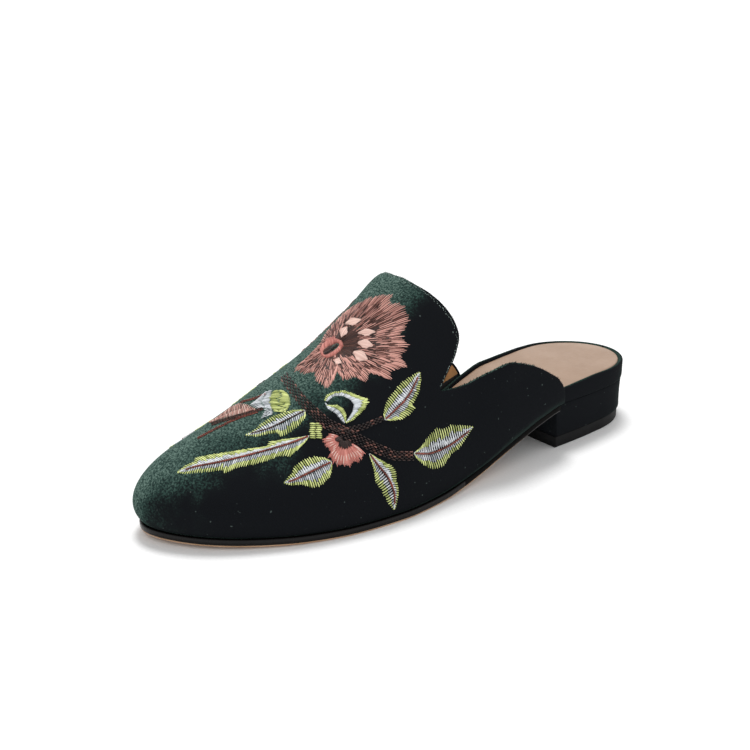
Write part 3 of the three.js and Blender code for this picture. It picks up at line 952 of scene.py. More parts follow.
@dataclass
class Sole:
    """Everything under the foot: outsole, footbed, sock, covered heel and its lift."""

    last: Last
    stations: int = 110
    lanes: int = 14
    welt: float = 1.6
    waist_welt: float = 0.2
    waist_end: float = 0.42
    forepart_start: float = 0.58
    sole_line: float = 0.7
    sole_step: float = 0.3
    rim_width: float = 2.2
    sock: float = 1.5
    lift: float = 5.3
    block_inset: float = 0.3
    block_taper: float = 0.2
    block_hollow: float = 0.24
    lift_inset: float = 0.7
    breast_rake: float = 1.5
    sock_crown: float = 0.35
    crown_reach: float = 20.0

    def spread(self, start: float, end: float, round_start: bool, round_end: bool) -> np.ndarray:
        """Stations from one end to the other, closer together at round ends.

        Args:
            start: Rear end.
            end: Front end.
            round_start: Whether the rear end is round.
            round_end: Whether the front end is round.

        Returns:
            The stations' y.
        """
        t = np.linspace(0, 1, self.stations + 1)
        share = (1 - np.cos(math.pi * t)) / 2
        if not round_end:
            share = 1 - np.cos(math.pi * t / 2)
        if not round_start:
            share = np.sin(math.pi * t / 2)
        return start + (end - start) * share

    def line(self, y: np.ndarray, side: int, inset: np.ndarray | float) -> np.ndarray:
        """The sole line on one side, moved in square to itself.

        Args:
            y: Stations.
            side: 1 for the outer side, -1 for the inner.
            inset: How far in.

        Returns:
            Points in plan.
        """
        last, step = self.last, 1e-3
        x = last.centre(y) + side * last.half(y)
        ahead = last.centre(y + step) + side * last.half(y + step)
        behind = last.centre(y - step) + side * last.half(y - step)
        slope = (ahead - behind) / (2 * step)
        outward = unit(np.stack([side * np.ones_like(y), -side * slope], axis=1))
        return np.stack([x, y], axis=1) - outward * np.broadcast_to(inset, y.shape)[:, None]

    def ring(self, y: np.ndarray, inset: Height | float, height: Height | float) -> np.ndarray:
        """Two rows of points, the outer side's and the inner side's, at one level.

        Args:
            y: Stations from the rear to the front.
            inset: How far in from the sole line.
            height: Height of the level.

        Returns:
            Points by side and station.
        """
        inset_at = inset(y) if callable(inset) else inset
        sides = []
        for side in (1, -1):
            plan = self.line(y, side, inset_at)
            z = height(plan[:, 1]) if callable(height) else np.full(len(y), float(height))
            sides.append(np.column_stack([plan + np.array(self.last.centring), z]))
        return np.array(sides)

    def shell(
        self, rings: Sequence[np.ndarray], crown: float = 0.0
    ) -> tuple[np.ndarray, np.ndarray, np.ndarray]:
        """Joins levels into one closed piece, with lanes across its two flat faces.

        Args:
            rings: Levels from the lowest to the highest.
            crown: How far the top swells in its middle.

        Returns:
            Points, quads and the level that each quad belongs to.
        """
        loops = [np.concatenate([r[0], r[1][::-1]]) for r in rings]
        count, stations = len(loops[0]), rings[0].shape[1]
        points, quads, levels = list(loops), [], []
        k = np.arange(count)
        for level in range(len(rings) - 1):
            low, high, turn = level * count, (level + 1) * count, (k + 1) % count
            quads.append(np.stack([low + k, high + k, high + turn, low + turn], axis=1))
            levels.append(np.full(count, level))
        start = len(rings) * count
        for top, level in ((False, -1), (True, len(rings) - 1)):
            ring = rings[-1] if top else rings[0]
            share = np.linspace(0, 1, self.lanes + 1)[1:-1]
            inner = ring[0][:, None] * (1 - share)[None, :, None] + ring[1][:, None] * share[None, :, None]
            if top:
                width = np.minimum(np.linalg.norm(ring[0] - ring[1], axis=1) / self.crown_reach, 1)
                inner[..., 2] += crown * width[:, None] * (1 - (2 * share - 1) ** 4)[None]
            points.append(inner.reshape(-1, 3))
            base = (len(rings) - 1) * count if top else 0
            left = base + np.arange(stations)
            right = base + count - 1 - np.arange(stations)
            middle = start + np.arange(stations)[:, None] * len(share) + np.arange(len(share))[None]
            grid = np.column_stack([left, middle, right])
            a, b = grid[:-1, :-1].ravel(), grid[1:, :-1].ravel()
            c, d = grid[1:, 1:].ravel(), grid[:-1, 1:].ravel()
            faces = np.stack([a, d, c, b] if top else [a, b, c, d], axis=1)
            quads.append(faces)
            levels.append(np.full(len(faces), level))
            start += stations * len(share)
        return np.concatenate(points), np.concatenate(quads), np.concatenate(levels)

    def welt_at(self, y: np.ndarray) -> np.ndarray:
        """How far the outsole stands out."""
        share = np.clip((self.last.share(y) - self.waist_end) / (self.forepart_start - self.waist_end), 0, 1)
        return self.waist_welt + (self.welt - self.waist_welt) * eased(share)

    def outsole(self, edge: bpy.types.Material, waist: bpy.types.Material, tread: bpy.types.Material) -> None:
        """Builds the outsole: a waxed black edge over the set-back line of bare leather.

        Args:
            edge: Finish of the forepart's edge and top.
            waist: Finish of the edge and top behind it.
            tread: Finish of the line and the underside.
        """
        last = self.last
        y = self.spread(last.breast_y - last.gap, last.toe_tip, False, True)

        def inset(extra: float) -> Height:
            """A line that much inside the outsole's edge."""
            return lambda at: extra - self.welt_at(at)

        def over(rise: float) -> Height:
            """A height above the underside."""
            return lambda at: last.underside(at) + rise

        def below(drop: float) -> Height:
            """A height under the outsole's top."""
            return lambda at: last.sole_top(at) - drop

        step, line = self.sole_step, self.sole_line
        rings = [
            self.ring(y, inset(step + 0.15), over(0)), self.ring(y, inset(step), over(0.15)),
            self.ring(y, inset(step), over(line)), self.ring(y, inset(0.08), over(line + 0.02)),
            self.ring(y, inset(0), over(line + 0.2)), self.ring(y, inset(-0.05), below(1.1)),
            self.ring(y, inset(0), below(0.3)), self.ring(y, inset(0.18), below(0.06)),
            self.ring(y, inset(0.6), below(0)),
        ]
        points, quads, levels = self.shell(rings)
        rear = points[quads[:, 0], 1] > 0
        for name, kept, finish in (
            ("outsole_tread", levels < 2, tread), ("outsole_edge", (levels >= 2) & ~rear, edge),
            ("outsole_waist", (levels >= 2) & rear, waist),
        ):
            shown, renumbered = used(points, quads[kept])
            seat(make_mesh(name, shown, renumbered, finish), "outsole")

    def footbed(self, velvet: bpy.types.Material) -> None:
        """Builds the velvet-wrapped footbed with its padded rim.

        Args:
            velvet: Its finish.
        """
        last = self.last
        whole = self.spread(last.heel_back, last.toe_tip, True, True)
        y = np.sort(np.append(whole, [last.breast_y, last.breast_y + last.gap]))[::-1]
        inset = last.wall + last.gap

        def base(at: np.ndarray) -> np.ndarray:
            """The footbed's underside: on the heel behind the breast, on the outsole in front of it."""
            on_heel = at > last.breast_y + last.gap / 2
            return np.where(on_heel, last.seat_height, last.sole_top(at)) + last.gap

        def rim(drop: float) -> Height:
            """A height under the rim's top."""
            return lambda at: last.rim_top(at) - drop

        def floor(drop: float) -> Height:
            """A height under the sock's top, where the sock is let in."""
            return lambda at: last.sock_top(at) - drop

        rings = [
            self.ring(y, inset + 0.2, base), self.ring(y, inset + 0.02, lambda at: base(at) + 0.06),
            self.ring(y, inset - 0.05, lambda at: base(at) + 0.6), self.ring(y, inset - 0.05, rim(0.9)),
            self.ring(y, inset + 0.1, rim(0.4)), self.ring(y, inset + 0.45, rim(0.08)),
            self.ring(y, inset + 0.95, rim(-0.05)), self.ring(y, inset + 1.5, rim(0.08)),
            self.ring(y, inset + 1.95, rim(0.45)), self.ring(y, inset + 2.15, floor(0.3)),
            self.ring(y, inset + self.rim_width, floor(self.sock + last.gap)),
        ]
        points, quads, _ = self.shell(rings)
        seat(make_mesh("footbed_velvet", points, quads, velvet), "footbed")

    def insole(self, leather: bpy.types.Material) -> None:
        """Builds the leather sock, softly padded, with its edge turned down.

        Args:
            leather: Its finish.
        """
        last = self.last
        y = self.spread(last.heel_back, last.toe_tip, True, True)
        inset = last.wall + last.gap + self.rim_width + 0.1

        def top(drop: float) -> Height:
            """A height under the sock's top."""
            return lambda at: last.sock_top(at) - drop

        rings = [
            self.ring(y, inset, top(self.sock)), self.ring(y, inset, top(0.55)),
            self.ring(y, inset + 0.15, top(0.25)), self.ring(y, inset + 0.5, top(0.08)),
            self.ring(y, inset + 1.2, top(0)),
        ]
        points, quads, _ = self.shell(rings, crown=self.sock_crown)
        seat(make_mesh("insole_sock", points, quads, leather), "insole")

    def heel_slice(self, inset: float, height: float) -> np.ndarray:
        """A level of the heel, from its back to the raked breast.

        Args:
            inset: How far inside the block's top.
            height: Height of the level.

        Returns:
            Points by side and station.
        """
        last = self.last
        rake = self.breast_rake * (last.seat_height - height) / last.seat_height
        y = self.spread(last.heel_back, last.breast_y + last.gap + rake, True, False)
        return self.ring(y, last.wall + last.gap + self.block_inset + inset, height)

    def heel(self, velvet: bpy.types.Material, rubber: bpy.types.Material) -> None:
        """Builds the covered block and its lift.

        Args:
            velvet: Finish of the block's cover.
            rubber: Finish of the lift.
        """
        foot, top = self.lift + self.last.gap, self.last.seat_height
        rings = [self.heel_slice(self.block_taper + 0.5, foot)]
        for share in np.linspace(0.02, 0.98, 9):
            hollow = self.block_hollow * math.sin(math.pi * share)
            inset = self.block_taper * (1 - share) + hollow
            rings.append(self.heel_slice(inset, foot + (top - foot) * share))
        rings.append(self.heel_slice(0.12, top))
        points, quads, _ = self.shell(rings)
        seat(make_mesh("heel_velvet", points, quads, velvet), "heel_block")
        inset = self.block_taper + self.lift_inset
        low = ((0.35, 0), (0.1, 0.12), (0, 0.4))
        levels = low + ((0, self.lift - 0.4), (0.1, self.lift - 0.1), (0.3, self.lift))
        rings = [self.heel_slice(inset + extra, z) for extra, z in levels]
        points, quads, _ = self.shell(rings)
        seat(make_mesh("top_piece_rubber", points, quads, rubber), "top_piece")


Pixel = tuple[float, float]
Line = tuple[Pixel, ...]


@dataclass(frozen=True)
class LeafShape:
    """A leaf of the ornament, in the picture's pixels: its rib and its two sides, all from stem to tip."""

    rib: Line
    upper_side: Line
    lower_side: Line
    dark_rib: bool = False


LEAVES: tuple[LeafShape, ...] = (
    LeafShape(
        ((385, 419.4), (397, 407.9), (404.2, 401.2), (410.3, 392.7), (415.2, 382.4), (420, 371.5)),
        ((385, 419.4), (383.6, 413.3), (384.8, 404.8), (388.5, 396.4), (397, 386), (405.5, 378.8),
         (413.9, 373.9), (420, 371.5)),
        ((385, 419.4), (393.3, 420.6), (403, 419.4), (411.5, 414.5), (415.2, 408.5), (412.1, 405.5),
         (416.4, 398.8), (420.6, 389.1), (421.2, 379.4), (420, 371.5)),
    ),
    LeafShape(
        ((414, 453.3), (428.5, 453.9), (439.4, 450.3), (449.1, 445.5), (458.8, 438.8), (467.3, 432.1),
         (473.3, 426)),
        ((414, 453.3), (418.2, 450.3), (422.4, 444.8), (428.5, 435.2), (435.8, 427.3), (443, 428.5),
         (450.3, 424.2), (461.2, 424.8), (473.3, 426)),
        ((414, 453.3), (417.6, 459.4), (423.6, 465.5), (432.1, 469.1), (439.4, 469.7), (445.5, 464.8),
         (447.9, 459.4), (450.3, 455.8), (458.8, 449.7), (464.8, 441.2), (469.7, 432.7), (473.3, 426)),
    ),
    LeafShape(
        ((369.5, 454), (375.2, 461.8), (381.2, 469.1), (387.3, 476.4), (391.5, 484.8), (394.5, 494.5),
         (393.9, 510.3)),
        ((369.5, 454), (377.6, 458.8), (384.8, 461.8), (392.1, 465.5), (397, 471.5), (397, 480),
         (398.8, 487.3), (398.8, 494.5), (397, 503), (393.9, 510.3)),
        ((369.5, 454), (372.7, 465.5), (374.5, 473.9), (375.2, 483.6), (380, 488.5), (383.6, 495.8),
         (388.5, 504.2), (393.9, 510.3)),
    ),
    LeafShape(
        ((331, 462), (316.7, 468.9), (305.5, 474.4), (294.4, 480), (283.2, 483.2)),
        ((331, 462), (323.1, 456.9), (313.5, 456.1), (302.3, 459.3), (294.4, 465.7), (292, 472),
         (287.2, 478.4), (283.2, 483.2)),
        ((331, 462), (331.8, 470.4), (329.4, 478.4), (323.1, 485.6), (313.5, 488.8), (307.1, 486.4),
         (300.7, 484.8), (291.2, 485.6), (283.2, 483.2)),
    ),
    LeafShape(
        ((304.7, 410.7), (284.8, 421), (270.4, 428.2), (259.3, 431.4), (244.9, 435.4)),
        ((304.7, 410.7), (291.2, 409.9), (278.4, 413.8), (268.9, 417), (261.7, 422.6), (256.1, 428.2),
         (249.7, 433), (244.9, 435.4)),
        ((304.7, 410.7), (305.5, 417.8), (299.9, 425), (292.8, 431.4), (281.6, 437), (276.8, 433),
         (265.7, 434.6), (256.1, 437), (244.9, 435.4)),
        dark_rib=True,
    ),
    LeafShape(
        ((308.7, 436.2), (288, 444.1), (265.7, 450.5), (241.7, 456.9), (217.8, 462.5), (196.3, 466.5),
         (176.4, 472.8)),
        ((308.7, 436.2), (297.6, 438.6), (281.6, 439.4), (268.9, 441.7), (265.7, 446.5), (246.5, 448.9),
         (230.6, 451.3), (209.9, 454.5), (193.9, 457.7), (193.9, 461.7), (184.3, 465.7), (176.4, 472.8)),
        ((308.7, 436.2), (304.7, 442.5), (297.6, 449.7), (289.6, 456.9), (280, 456.1), (265.7, 461.7),
         (249.7, 465.7), (233.8, 468.9), (225, 474.4), (222.6, 470.4), (209.9, 472), (193.9, 473.6),
         (184.3, 474.4), (176.4, 472.8)),
    ),
)
# The peony: its scalloped outline from the left tip along the bottom, round the right and back over the top
PEONY: Line = (
    (293.5, 371.7), (303.2, 375.3), (312.9, 372.9), (316.5, 381.4), (326.2, 390.5), (333.5, 381.4),
    (337.1, 371.7), (343.2, 380.2), (348, 381.4), (354.1, 376.5), (360.2, 380.2), (366.2, 383.2),
    (369.8, 374.1), (377.1, 375.3), (392.9, 380.8), (394.0, 370.5), (407.4, 366.8), (401.4, 357.1),
    (408.6, 348.6), (408.6, 342.6), (401.4, 334.1), (406.2, 328), (409.8, 322), (408.6, 313.5),
    (406.8, 306.2), (397.7, 302.6), (391.7, 300.2), (393.5, 294.1), (385.6, 293.5), (372.3, 295.9),
    (362.6, 300.2), (352.9, 305), (343.2, 313.5), (333.5, 323.2), (325, 332.9), (320.2, 342.6),
    (314.1, 349.8), (303.2, 360.8), (295.9, 366.8), (293.5, 371.7),
)
PEONY_HEART: Pixel = (334, 346)
# The ground under the petals: from and to as shares of the way out, and the thread
PEONY_GROUND: tuple[tuple[float, float, Silk], ...] = (
    (0.12, 0.45, Silk.UMBER), (0.4, 0.72, Silk.UMBER), (0.66, 0.94, Silk.BLUSH),
)
# From and to as shares of the way out, pixels between stitches at the outline, thread width
PEONY_RINGS: Table = ((0.74, 1.0, 2.1, 0.47), (0.52, 0.84, 2.7, 0.45), (0.3, 0.62, 4.0, 0.4))
# Pale inner petals: from, to, and half the width across
PALE_PETALS: tuple[tuple[Pixel, Pixel, float], ...] = (
    ((343, 325), (364, 319.5), 3.1), ((340.5, 338.5), (348, 325.5), 3.2), ((355, 334), (378.5, 332), 2.9),
    ((355.5, 342.5), (375.5, 346.5), 3.9), ((351, 351), (370, 361.8), 4.6), ((333, 360), (343, 363.5), 2.9),
)
# The eye at the peony's heart: its ring, the slit across it, and the foot and top of its knob's stitches
EYE_RING: Line = (
    (319.8, 350), (323, 343), (329, 338.5), (336, 338), (342.5, 341), (344, 346), (340, 352), (334, 357),
    (327.5, 359), (321.5, 356.5), (319.8, 350),
)
EYE_SLIT: Line = ((325, 354), (329, 351.5), (333.5, 348), (337, 345))
KNOB_FOOT: Line = ((326.5, 343.5), (334.9, 342.3))
KNOB_TOP: Line = ((327.3, 337.8), (335.7, 336.0))
KNOB_STITCHES = 7
# Branches: middle line, width in pixels and rows of stitches
BRANCHES: tuple[tuple[Line, float, int], ...] = (
    (
        ((283, 375), (293, 389), (304, 403), (327, 424), (350, 435), (373, 447), (395, 456), (414, 456)),
        12.0, 6,
    ),
    (((330, 427), (345, 431), (363, 427), (384, 418)), 7.0, 4),
)
# The crescent: inner line and outer line, both from one horn to the other
CRESCENT_INNER: Line = (
    (327.9, 401), (333.9, 396.4), (342.4, 396.0), (349.7, 399.4), (353.3, 404.8), (352.1, 412.1),
    (346.5, 421),
)
CRESCENT_OUTER: Line = (
    (324.2, 400), (326, 395.2), (333.9, 391.6), (344.8, 390.3), (353.3, 393.3), (360.6, 396.4),
    (370.3, 399.4), (367.3, 406.1), (360.6, 413.3), (353.3, 420.6), (346.5, 423),
)
# The curl inside the crescent: its lime line and its silver line
CURL_LIME: Line = ((328, 406.5), (337.6, 404.6), (343.8, 408.5), (346.7, 414.5), (346, 421))
CURL_SILVER: Line = ((325, 403), (327.3, 408.8), (335.2, 413.5), (341.2, 420.6), (344, 423))
CURL_STITCHES = 22
FAN_HEART: Pixel = (344, 438)
FAN: Line = (
    (329, 434), (322, 440), (324.2, 444.8), (330.3, 449.7), (328.5, 457), (332.7, 463), (340, 466.7),
    (348.5, 465.5), (354.5, 463.6), (363, 460.6), (365.5, 453.3), (358.2, 449.7),
)


@dataclass(frozen=True)
class BlockShape:
    """The small lime block beside the branch, in the picture's pixels: two columns of short rows."""

    corner: Pixel = (309.5, 423.5)
    rows: int = 8
    row_step: float = 2.0
    column_step: float = 6.0
    stitch: Pixel = (6.5, 0.5)


@dataclass(frozen=True)
class BudShape:
    """The bud over the toe, in the picture's pixels: egg-shaped cup, silver throat, petal, dark strokes."""

    cup_rows: int = 19
    cup_step: float = 1.22
    cup_top: float = 390.5
    cup_middle: float = 401.5
    cup_half_height: float = 12.0
    cup_left: float = 275.0
    cup_seam: float = 280.5
    cup_right: float = 282.0
    cup_left_bulge: float = 6.0
    cup_right_bulge: float = 8.5
    cup_slant: float = 0.12
    throat_stitches: int = 21
    mouth: Line = ((272, 390.5), (270.5, 401), (273, 413.5))
    lip: Line = (
        (264, 393), (256, 400), (248.5, 405.5), (256, 408.5), (264, 407.5), (264, 412), (260.5, 418.5),
    )
    petal_stitches: int = 30
    petal_top: Line = (
        (210.5, 421.5), (216.6, 417.6), (230, 406.6), (238.6, 402.8), (246, 404.5), (254, 409),
    )
    petal_foot: Line = ((210.5, 422.6), (225.2, 417.6), (238.6, 415), (252, 411), (255.5, 410.2))
    petal_slant: Pixel = (-3.4, 1.3)
    strokes: tuple[tuple[Silk, Line, int], ...] = (
        (Silk.RIB, ((240, 402.6), (250, 400), (258, 397.5), (266.5, 394)), 2),
        (Silk.UMBER, ((211, 424.5), (230, 418.5), (246, 414), (263.5, 408.5)), 3),
        (Silk.RIB, ((197.4, 438.7), (211.8, 431), (230.9, 421.5), (245, 416), (258, 412)), 2),
    )
    stroke_step: float = 3.0
    stroke_row: Pixel = (0.3, 1.1)


def along(line: Sequence[Pixel], share: float) -> np.ndarray:
    """A point on a line of pixels.

    Args:
        line: The line's points.
        share: How far along it, from 0 to 1.

    Returns:
        The point.
    """
    points = np.array(line, float)
    lengths = run_lengths(points)
    at = np.clip(share, 0, 1) * lengths[-1]
    return np.array([np.interp(at, lengths, points[:, 0]), np.interp(at, lengths, points[:, 1])])


def reach(line: Sequence[Pixel]) -> float:
    """Length of a line of pixels."""
    return float(np.linalg.norm(np.diff(np.array(line, float), axis=0), axis=1).sum())


@dataclass(frozen=True)
class Weight:
    """How heavy a stitch is: its thread's width and how far its middle stands up, in millimetres."""

    width: float
    lift: float


@dataclass
class Embroidery:
    """The floral ornament: every stitch a raised thread that lies on the velvet.

    The picture shows the outer side. The inner side, which it doesn't, takes the same ornament mirrored.
    The spacings are in the picture's pixels.
    """

    last: Last
    upper: Upper
    tree: BVHTree
    eye: Eye
    sink: float = 0.15
    hidden: float = -0.06
    rings: int = 5
    sides: int = 5
    flatness: float = 0.7
    tone_spread: float = 0.27
    halvings: int = 3
    leaf_spacing: float = 2.4
    leaf_silver: Weight = Weight(0.58, 0.3)
    leaf_glint: Weight = Weight(0.52, 0.26)
    leaf_lime: Weight = Weight(0.56, 0.36)
    leaf_middle: float = 0.46
    rib_spacing: float = 3.4
    rib: Weight = Weight(0.75, 0.55)
    dark_rib: Weight = Weight(0.5, 0.55)
    fan_spacing: float = 1.25
    fan_petal: Weight = Weight(0.6, 0.4)
    fan_heart: Weight = Weight(0.45, 0.5)
    fan_glint: Weight = Weight(0.4, 0.55)
    branch_spacing: float = 4.6
    branch_stitch: Weight = Weight(0.6, 0.45)
    branch_lights: float = 0.3
    crescent_spacing: float = 2.1
    crescent_silver: Weight = Weight(0.6, 0.32)
    crescent_lime: Weight = Weight(0.6, 0.38)
    peony_spacing: float = 1.25
    peony_ground: Weight = Weight(0.6, 0.2)
    peony_lift: float = 0.42
    peony_vein: Weight = Weight(0.3, 0.56)
    pale_spacing: float = 0.65
    pale_outline: Weight = Weight(0.45, 0.6)
    pale_stitch: Weight = Weight(0.6, 0.62)
    eye_spacing: float = 1.2
    eye_ring: Weight = Weight(0.6, 0.7)
    eye_slit: Weight = Weight(0.6, 0.62)
    eye_slit_stitches: int = 10
    eye_knob: Weight = Weight(0.6, 0.75)
    cup: Weight = Weight(0.52, 0.4)
    throat_root: Weight = Weight(0.52, 0.35)
    throat_lip: Weight = Weight(0.52, 0.38)
    petal_upper: Weight = Weight(0.55, 0.38)
    petal_lower: Weight = Weight(0.55, 0.4)
    stroke: Weight = Weight(0.5, 0.42)
    block: Weight = Weight(0.6, 0.4)
    curl_lime: Weight = Weight(0.55, 0.38)
    curl_silver: Weight = Weight(0.55, 0.34)
    edge_stitch: Weight = Weight(0.34, 0.18)
    edge_end: float = 0.68
    edge_spacing: float = 0.85
    edge_length: float = 0.55
    edge_inset: float = 1.1

    def __post_init__(self) -> None:
        """Starts with no stitches."""
        self.rng = np.random.default_rng(SEED)
        self.stitches: dict[Silk, list[tuple[float, ...]]] = {silk: [] for silk in Silk}
        self.origin = self.eye.position()

    def lay(self, silk: Silk, start: np.ndarray, end: np.ndarray, weight: Weight, tone: float = 0.55) -> None:
        """Lays one stitch between two pixels; one that runs past the ridge is halved, a few times at most.

        Args:
            silk: Its thread.
            start: First pixel.
            end: Second pixel.
            weight: Its width and lift.
            tone: Where its colour lies between the thread's dark and light.
        """
        places = [self.cast(*start), self.cast(*end)]
        tries = 0
        while places[1] is None and places[0] is not None and tries < self.halvings:
            end = (np.asarray(start) + np.asarray(end)) / 2
            places[1] = self.cast(*end)
            tries += 1
        if places[0] is None or places[1] is None:
            return
        shade = float(np.clip(self.rng.normal(tone, self.tone_spread), 0, 1))
        self.stitches[silk].append((*places[0], *places[1], weight.width, weight.lift, shade))

    def cast(self, x: float, y: float) -> tuple[float, float] | None:
        """Finds where a pixel's ray meets the velvet.

        Args:
            x: Pixel column.
            y: Pixel row.

        Returns:
            Place along the foot and way round, or nothing where the ray misses.
        """
        location, _, index, _ = self.tree.ray_cast(Vector(self.origin), Vector(self.eye.ray(x, y)))
        if index is None:
            return None
        corners = self.upper.triangles[index]
        a, b, c = self.upper.flat_points[corners]
        weights = np.linalg.lstsq(np.array([a, b, c]).T, np.array(location), rcond=None)[0]
        weights = np.clip(weights, 0, 1) / max(np.clip(weights, 0, 1).sum(), 1e-9)
        return float(weights @ self.upper.flat_y[corners]), float(weights @ self.upper.flat_way[corners])

    def jitter(self, amount: float) -> float:
        """A small seeded shift."""
        return float(self.rng.normal(0, amount))

    def leaf(self, shape: LeafShape) -> None:
        """Stitches a leaf: silver from the rib, lime from there to the edge, and the rib over both.

        Args:
            shape: Its rib and sides.
        """
        for side in (shape.upper_side, shape.lower_side):
            # The side that faces the light is nearly white, the other greyer.
            lit = side is shape.upper_side
            bright = 0.8 if lit else 0.4
            count = int(reach(side) / self.leaf_spacing)
            for k in range(count):
                share = (k + 0.5) / count
                root = along(shape.rib, max(share - 0.1 * (1 - share), 0) * 0.97)
                rim = along(side, share)
                middle = self.leaf_middle + self.jitter(0.08)
                end = root + (rim - root) * (middle + 0.14)
                self.lay(Silk.SILVER, root, end, self.leaf_silver, bright)
                if lit:
                    beside = share + 0.5 / count
                    near, far = along(shape.rib, min(beside, 1) * 0.97), along(side, beside)
                    self.lay(Silk.SILVER, near, near + (far - near) * middle * 0.85, self.leaf_glint, bright)
                outer = 1 + self.jitter(0.03)
                start = root + (rim - root) * (middle - 0.06)
                self.lay(Silk.LIME, start, root + (rim - root) * outer, self.leaf_lime, 0.6)
        silk, weight = (Silk.UMBER, self.dark_rib) if shape.dark_rib else (Silk.RIB, self.rib)
        steps = int(reach(shape.rib) / self.rib_spacing)
        for k in range(steps - 1):
            ends = [along(shape.rib, 0.95 * (k + extra) / steps) for extra in (-0.2, 1.25)]
            self.lay(silk, ends[0], ends[1], weight)

    def fan(self) -> None:
        """Stitches the small fan flower under the branch."""
        count = int(reach(FAN) / self.fan_spacing)
        heart = np.array(FAN_HEART)
        for k in range(count + 1):
            line = along(FAN, k / count) - heart
            inner, outer = 0.3 + self.jitter(0.05), 1 + self.jitter(0.05)
            self.lay(Silk.CORAL, heart + line * inner, heart + line * outer, self.fan_petal)
            if k % 2:
                outer = 0.42 + self.jitter(0.06)
                self.lay(Silk.BARK, heart + line * 0.08, heart + line * outer, self.fan_heart)
            if k % 3 == 0:
                outer = 0.9 + self.jitter(0.05)
                self.lay(Silk.PALE, heart + line * 0.5, heart + line * outer, self.fan_glint)

    def branch(self, line: Line, width: float, rows: int) -> None:
        """Stitches a branch in rows of running stitches, dark with blush lights.

        Args:
            line: Its middle line.
            width: Its width in pixels.
            rows: How many rows lie side by side.
        """
        count = int(reach(line) / self.branch_spacing)
        for row in range(rows):
            across = ((row + 0.5) / rows - 0.5) * width
            for k in range(count):
                ends = []
                for step in (0.0, 0.8):
                    share = (k + 0.5 * (row % 2) + step) / count
                    here, ahead = along(line, share), along(line, min(share + 0.02, 1))
                    behind = along(line, share - 0.02)
                    way = (ahead - behind) / max(np.linalg.norm(ahead - behind), 1e-6)
                    narrowing = 1 - 0.35 * abs(share - 0.5)
                    ends.append(here + np.array([-way[1], way[0]]) * across * narrowing)
                silk = Silk.BLUSH if self.rng.random() < self.branch_lights else Silk.BARK
                self.lay(silk, ends[0], ends[1], self.branch_stitch)

    def crescent(self) -> None:
        """Stitches the crescent: silver along its inner line, lime along its outer one."""
        count = int(reach(CRESCENT_OUTER) / self.crescent_spacing)
        for k in range(count + 1):
            near, far = along(CRESCENT_INNER, k / count), along(CRESCENT_OUTER, k / count)
            middle = 0.5 + self.jitter(0.06)
            self.lay(Silk.SILVER, near, near + (far - near) * (middle + 0.1), self.crescent_silver)
            start, end = near + (far - near) * middle, near + (far - near) * (1 + self.jitter(0.04))
            self.lay(Silk.LIME, start, end, self.crescent_lime)

    def peony(self) -> None:
        """Stitches the large flower: dark ground, rose petals in rings, dark veins over them."""
        heart = np.array(PEONY_HEART)
        count = int(reach(PEONY) / self.peony_spacing)
        for k in range(count):
            line = along(PEONY, k / count) - heart
            for low, high, silk in PEONY_GROUND:
                ends = [heart + line * (share + self.jitter(0.03)) for share in (low, high)]
                self.lay(silk, ends[0], ends[1], self.peony_ground, 0.4)
        for low, high, spacing, width in PEONY_RINGS:
            rays = int(reach(PEONY) / spacing)
            loose = 0.018 if high >= 1 else 0.05
            for k in range(rays):
                line = along(PEONY, (k + self.rng.random() * 0.5) / rays) - heart
                # The petals that turn down towards the toe are paler, those up the instep deeper.
                turn = (line[1] + 0.4 * line[0]) / max(np.linalg.norm(line), 1)
                tone = 0.55 + 0.2 * turn + 0.1 * (low > 0.6)
                ends = [heart + line * (share + self.jitter(loose)) for share in (low, high)]
                self.lay(Silk.ROSE, ends[0], ends[1], Weight(width, self.peony_lift), tone)
        for k in range(0, count, 3):
            line = along(PEONY, (k + self.rng.random()) / count) - heart
            low = 0.45 + 0.3 * self.rng.random()
            self.lay(Silk.UMBER, heart + line * low, heart + line * (low + 0.24), self.peony_vein, 0.5)

    def pale_petals(self) -> None:
        """Stitches the pale inner petals, each in a dark outline."""
        for start, end, half in PALE_PETALS:
            first, second = np.array(start, float), np.array(end, float)
            way = (second - first) / np.linalg.norm(second - first)
            square = np.array([-way[1], way[0]])
            for edge in (-1.25, 1.25):
                near, far = first - way + square * edge * 0.6, second + square * edge * 0.5
                middle = (first + second) / 2 + square * edge * half
                self.lay(Silk.UMBER, near, middle, self.pale_outline, 0.2)
                self.lay(Silk.UMBER, middle, far, self.pale_outline, 0.2)
            lines = int(half * 2 / self.pale_spacing)
            for k in range(lines + 1):
                across = (k / lines - 0.5) * 2
                trim = (second - first) * 0.32 * across * across
                shift = square * across * half
                self.lay(Silk.PALE, first + trim + shift, second - trim + shift, self.pale_stitch, 0.7)

    def peony_eye(self) -> None:
        """Stitches the eye at the peony's heart: a coral ring, a dark slit and a knob over the ring's top."""
        steps = int(reach(EYE_RING) / self.eye_spacing)
        left, right = EYE_SLIT[0][0], EYE_SLIT[-1][0]
        for k in range(steps):
            rim = along(EYE_RING, k / steps)
            slit = along(EYE_SLIT, np.clip((rim[0] - left) / (right - left), 0, 1))
            self.lay(Silk.CORAL, slit + (rim - slit) * 0.3, rim, self.eye_ring)
        half = np.array([0.8, 1.2])
        for share in np.arange(self.eye_slit_stitches) / (self.eye_slit_stitches - 1):
            at = along(EYE_SLIT, share)
            self.lay(Silk.BARK, at - half, at + half, self.eye_slit)
        for k in range(KNOB_STITCHES):
            share = k / (KNOB_STITCHES - 1)
            self.lay(Silk.CORAL, along(KNOB_FOOT, share), along(KNOB_TOP, share), self.eye_knob)

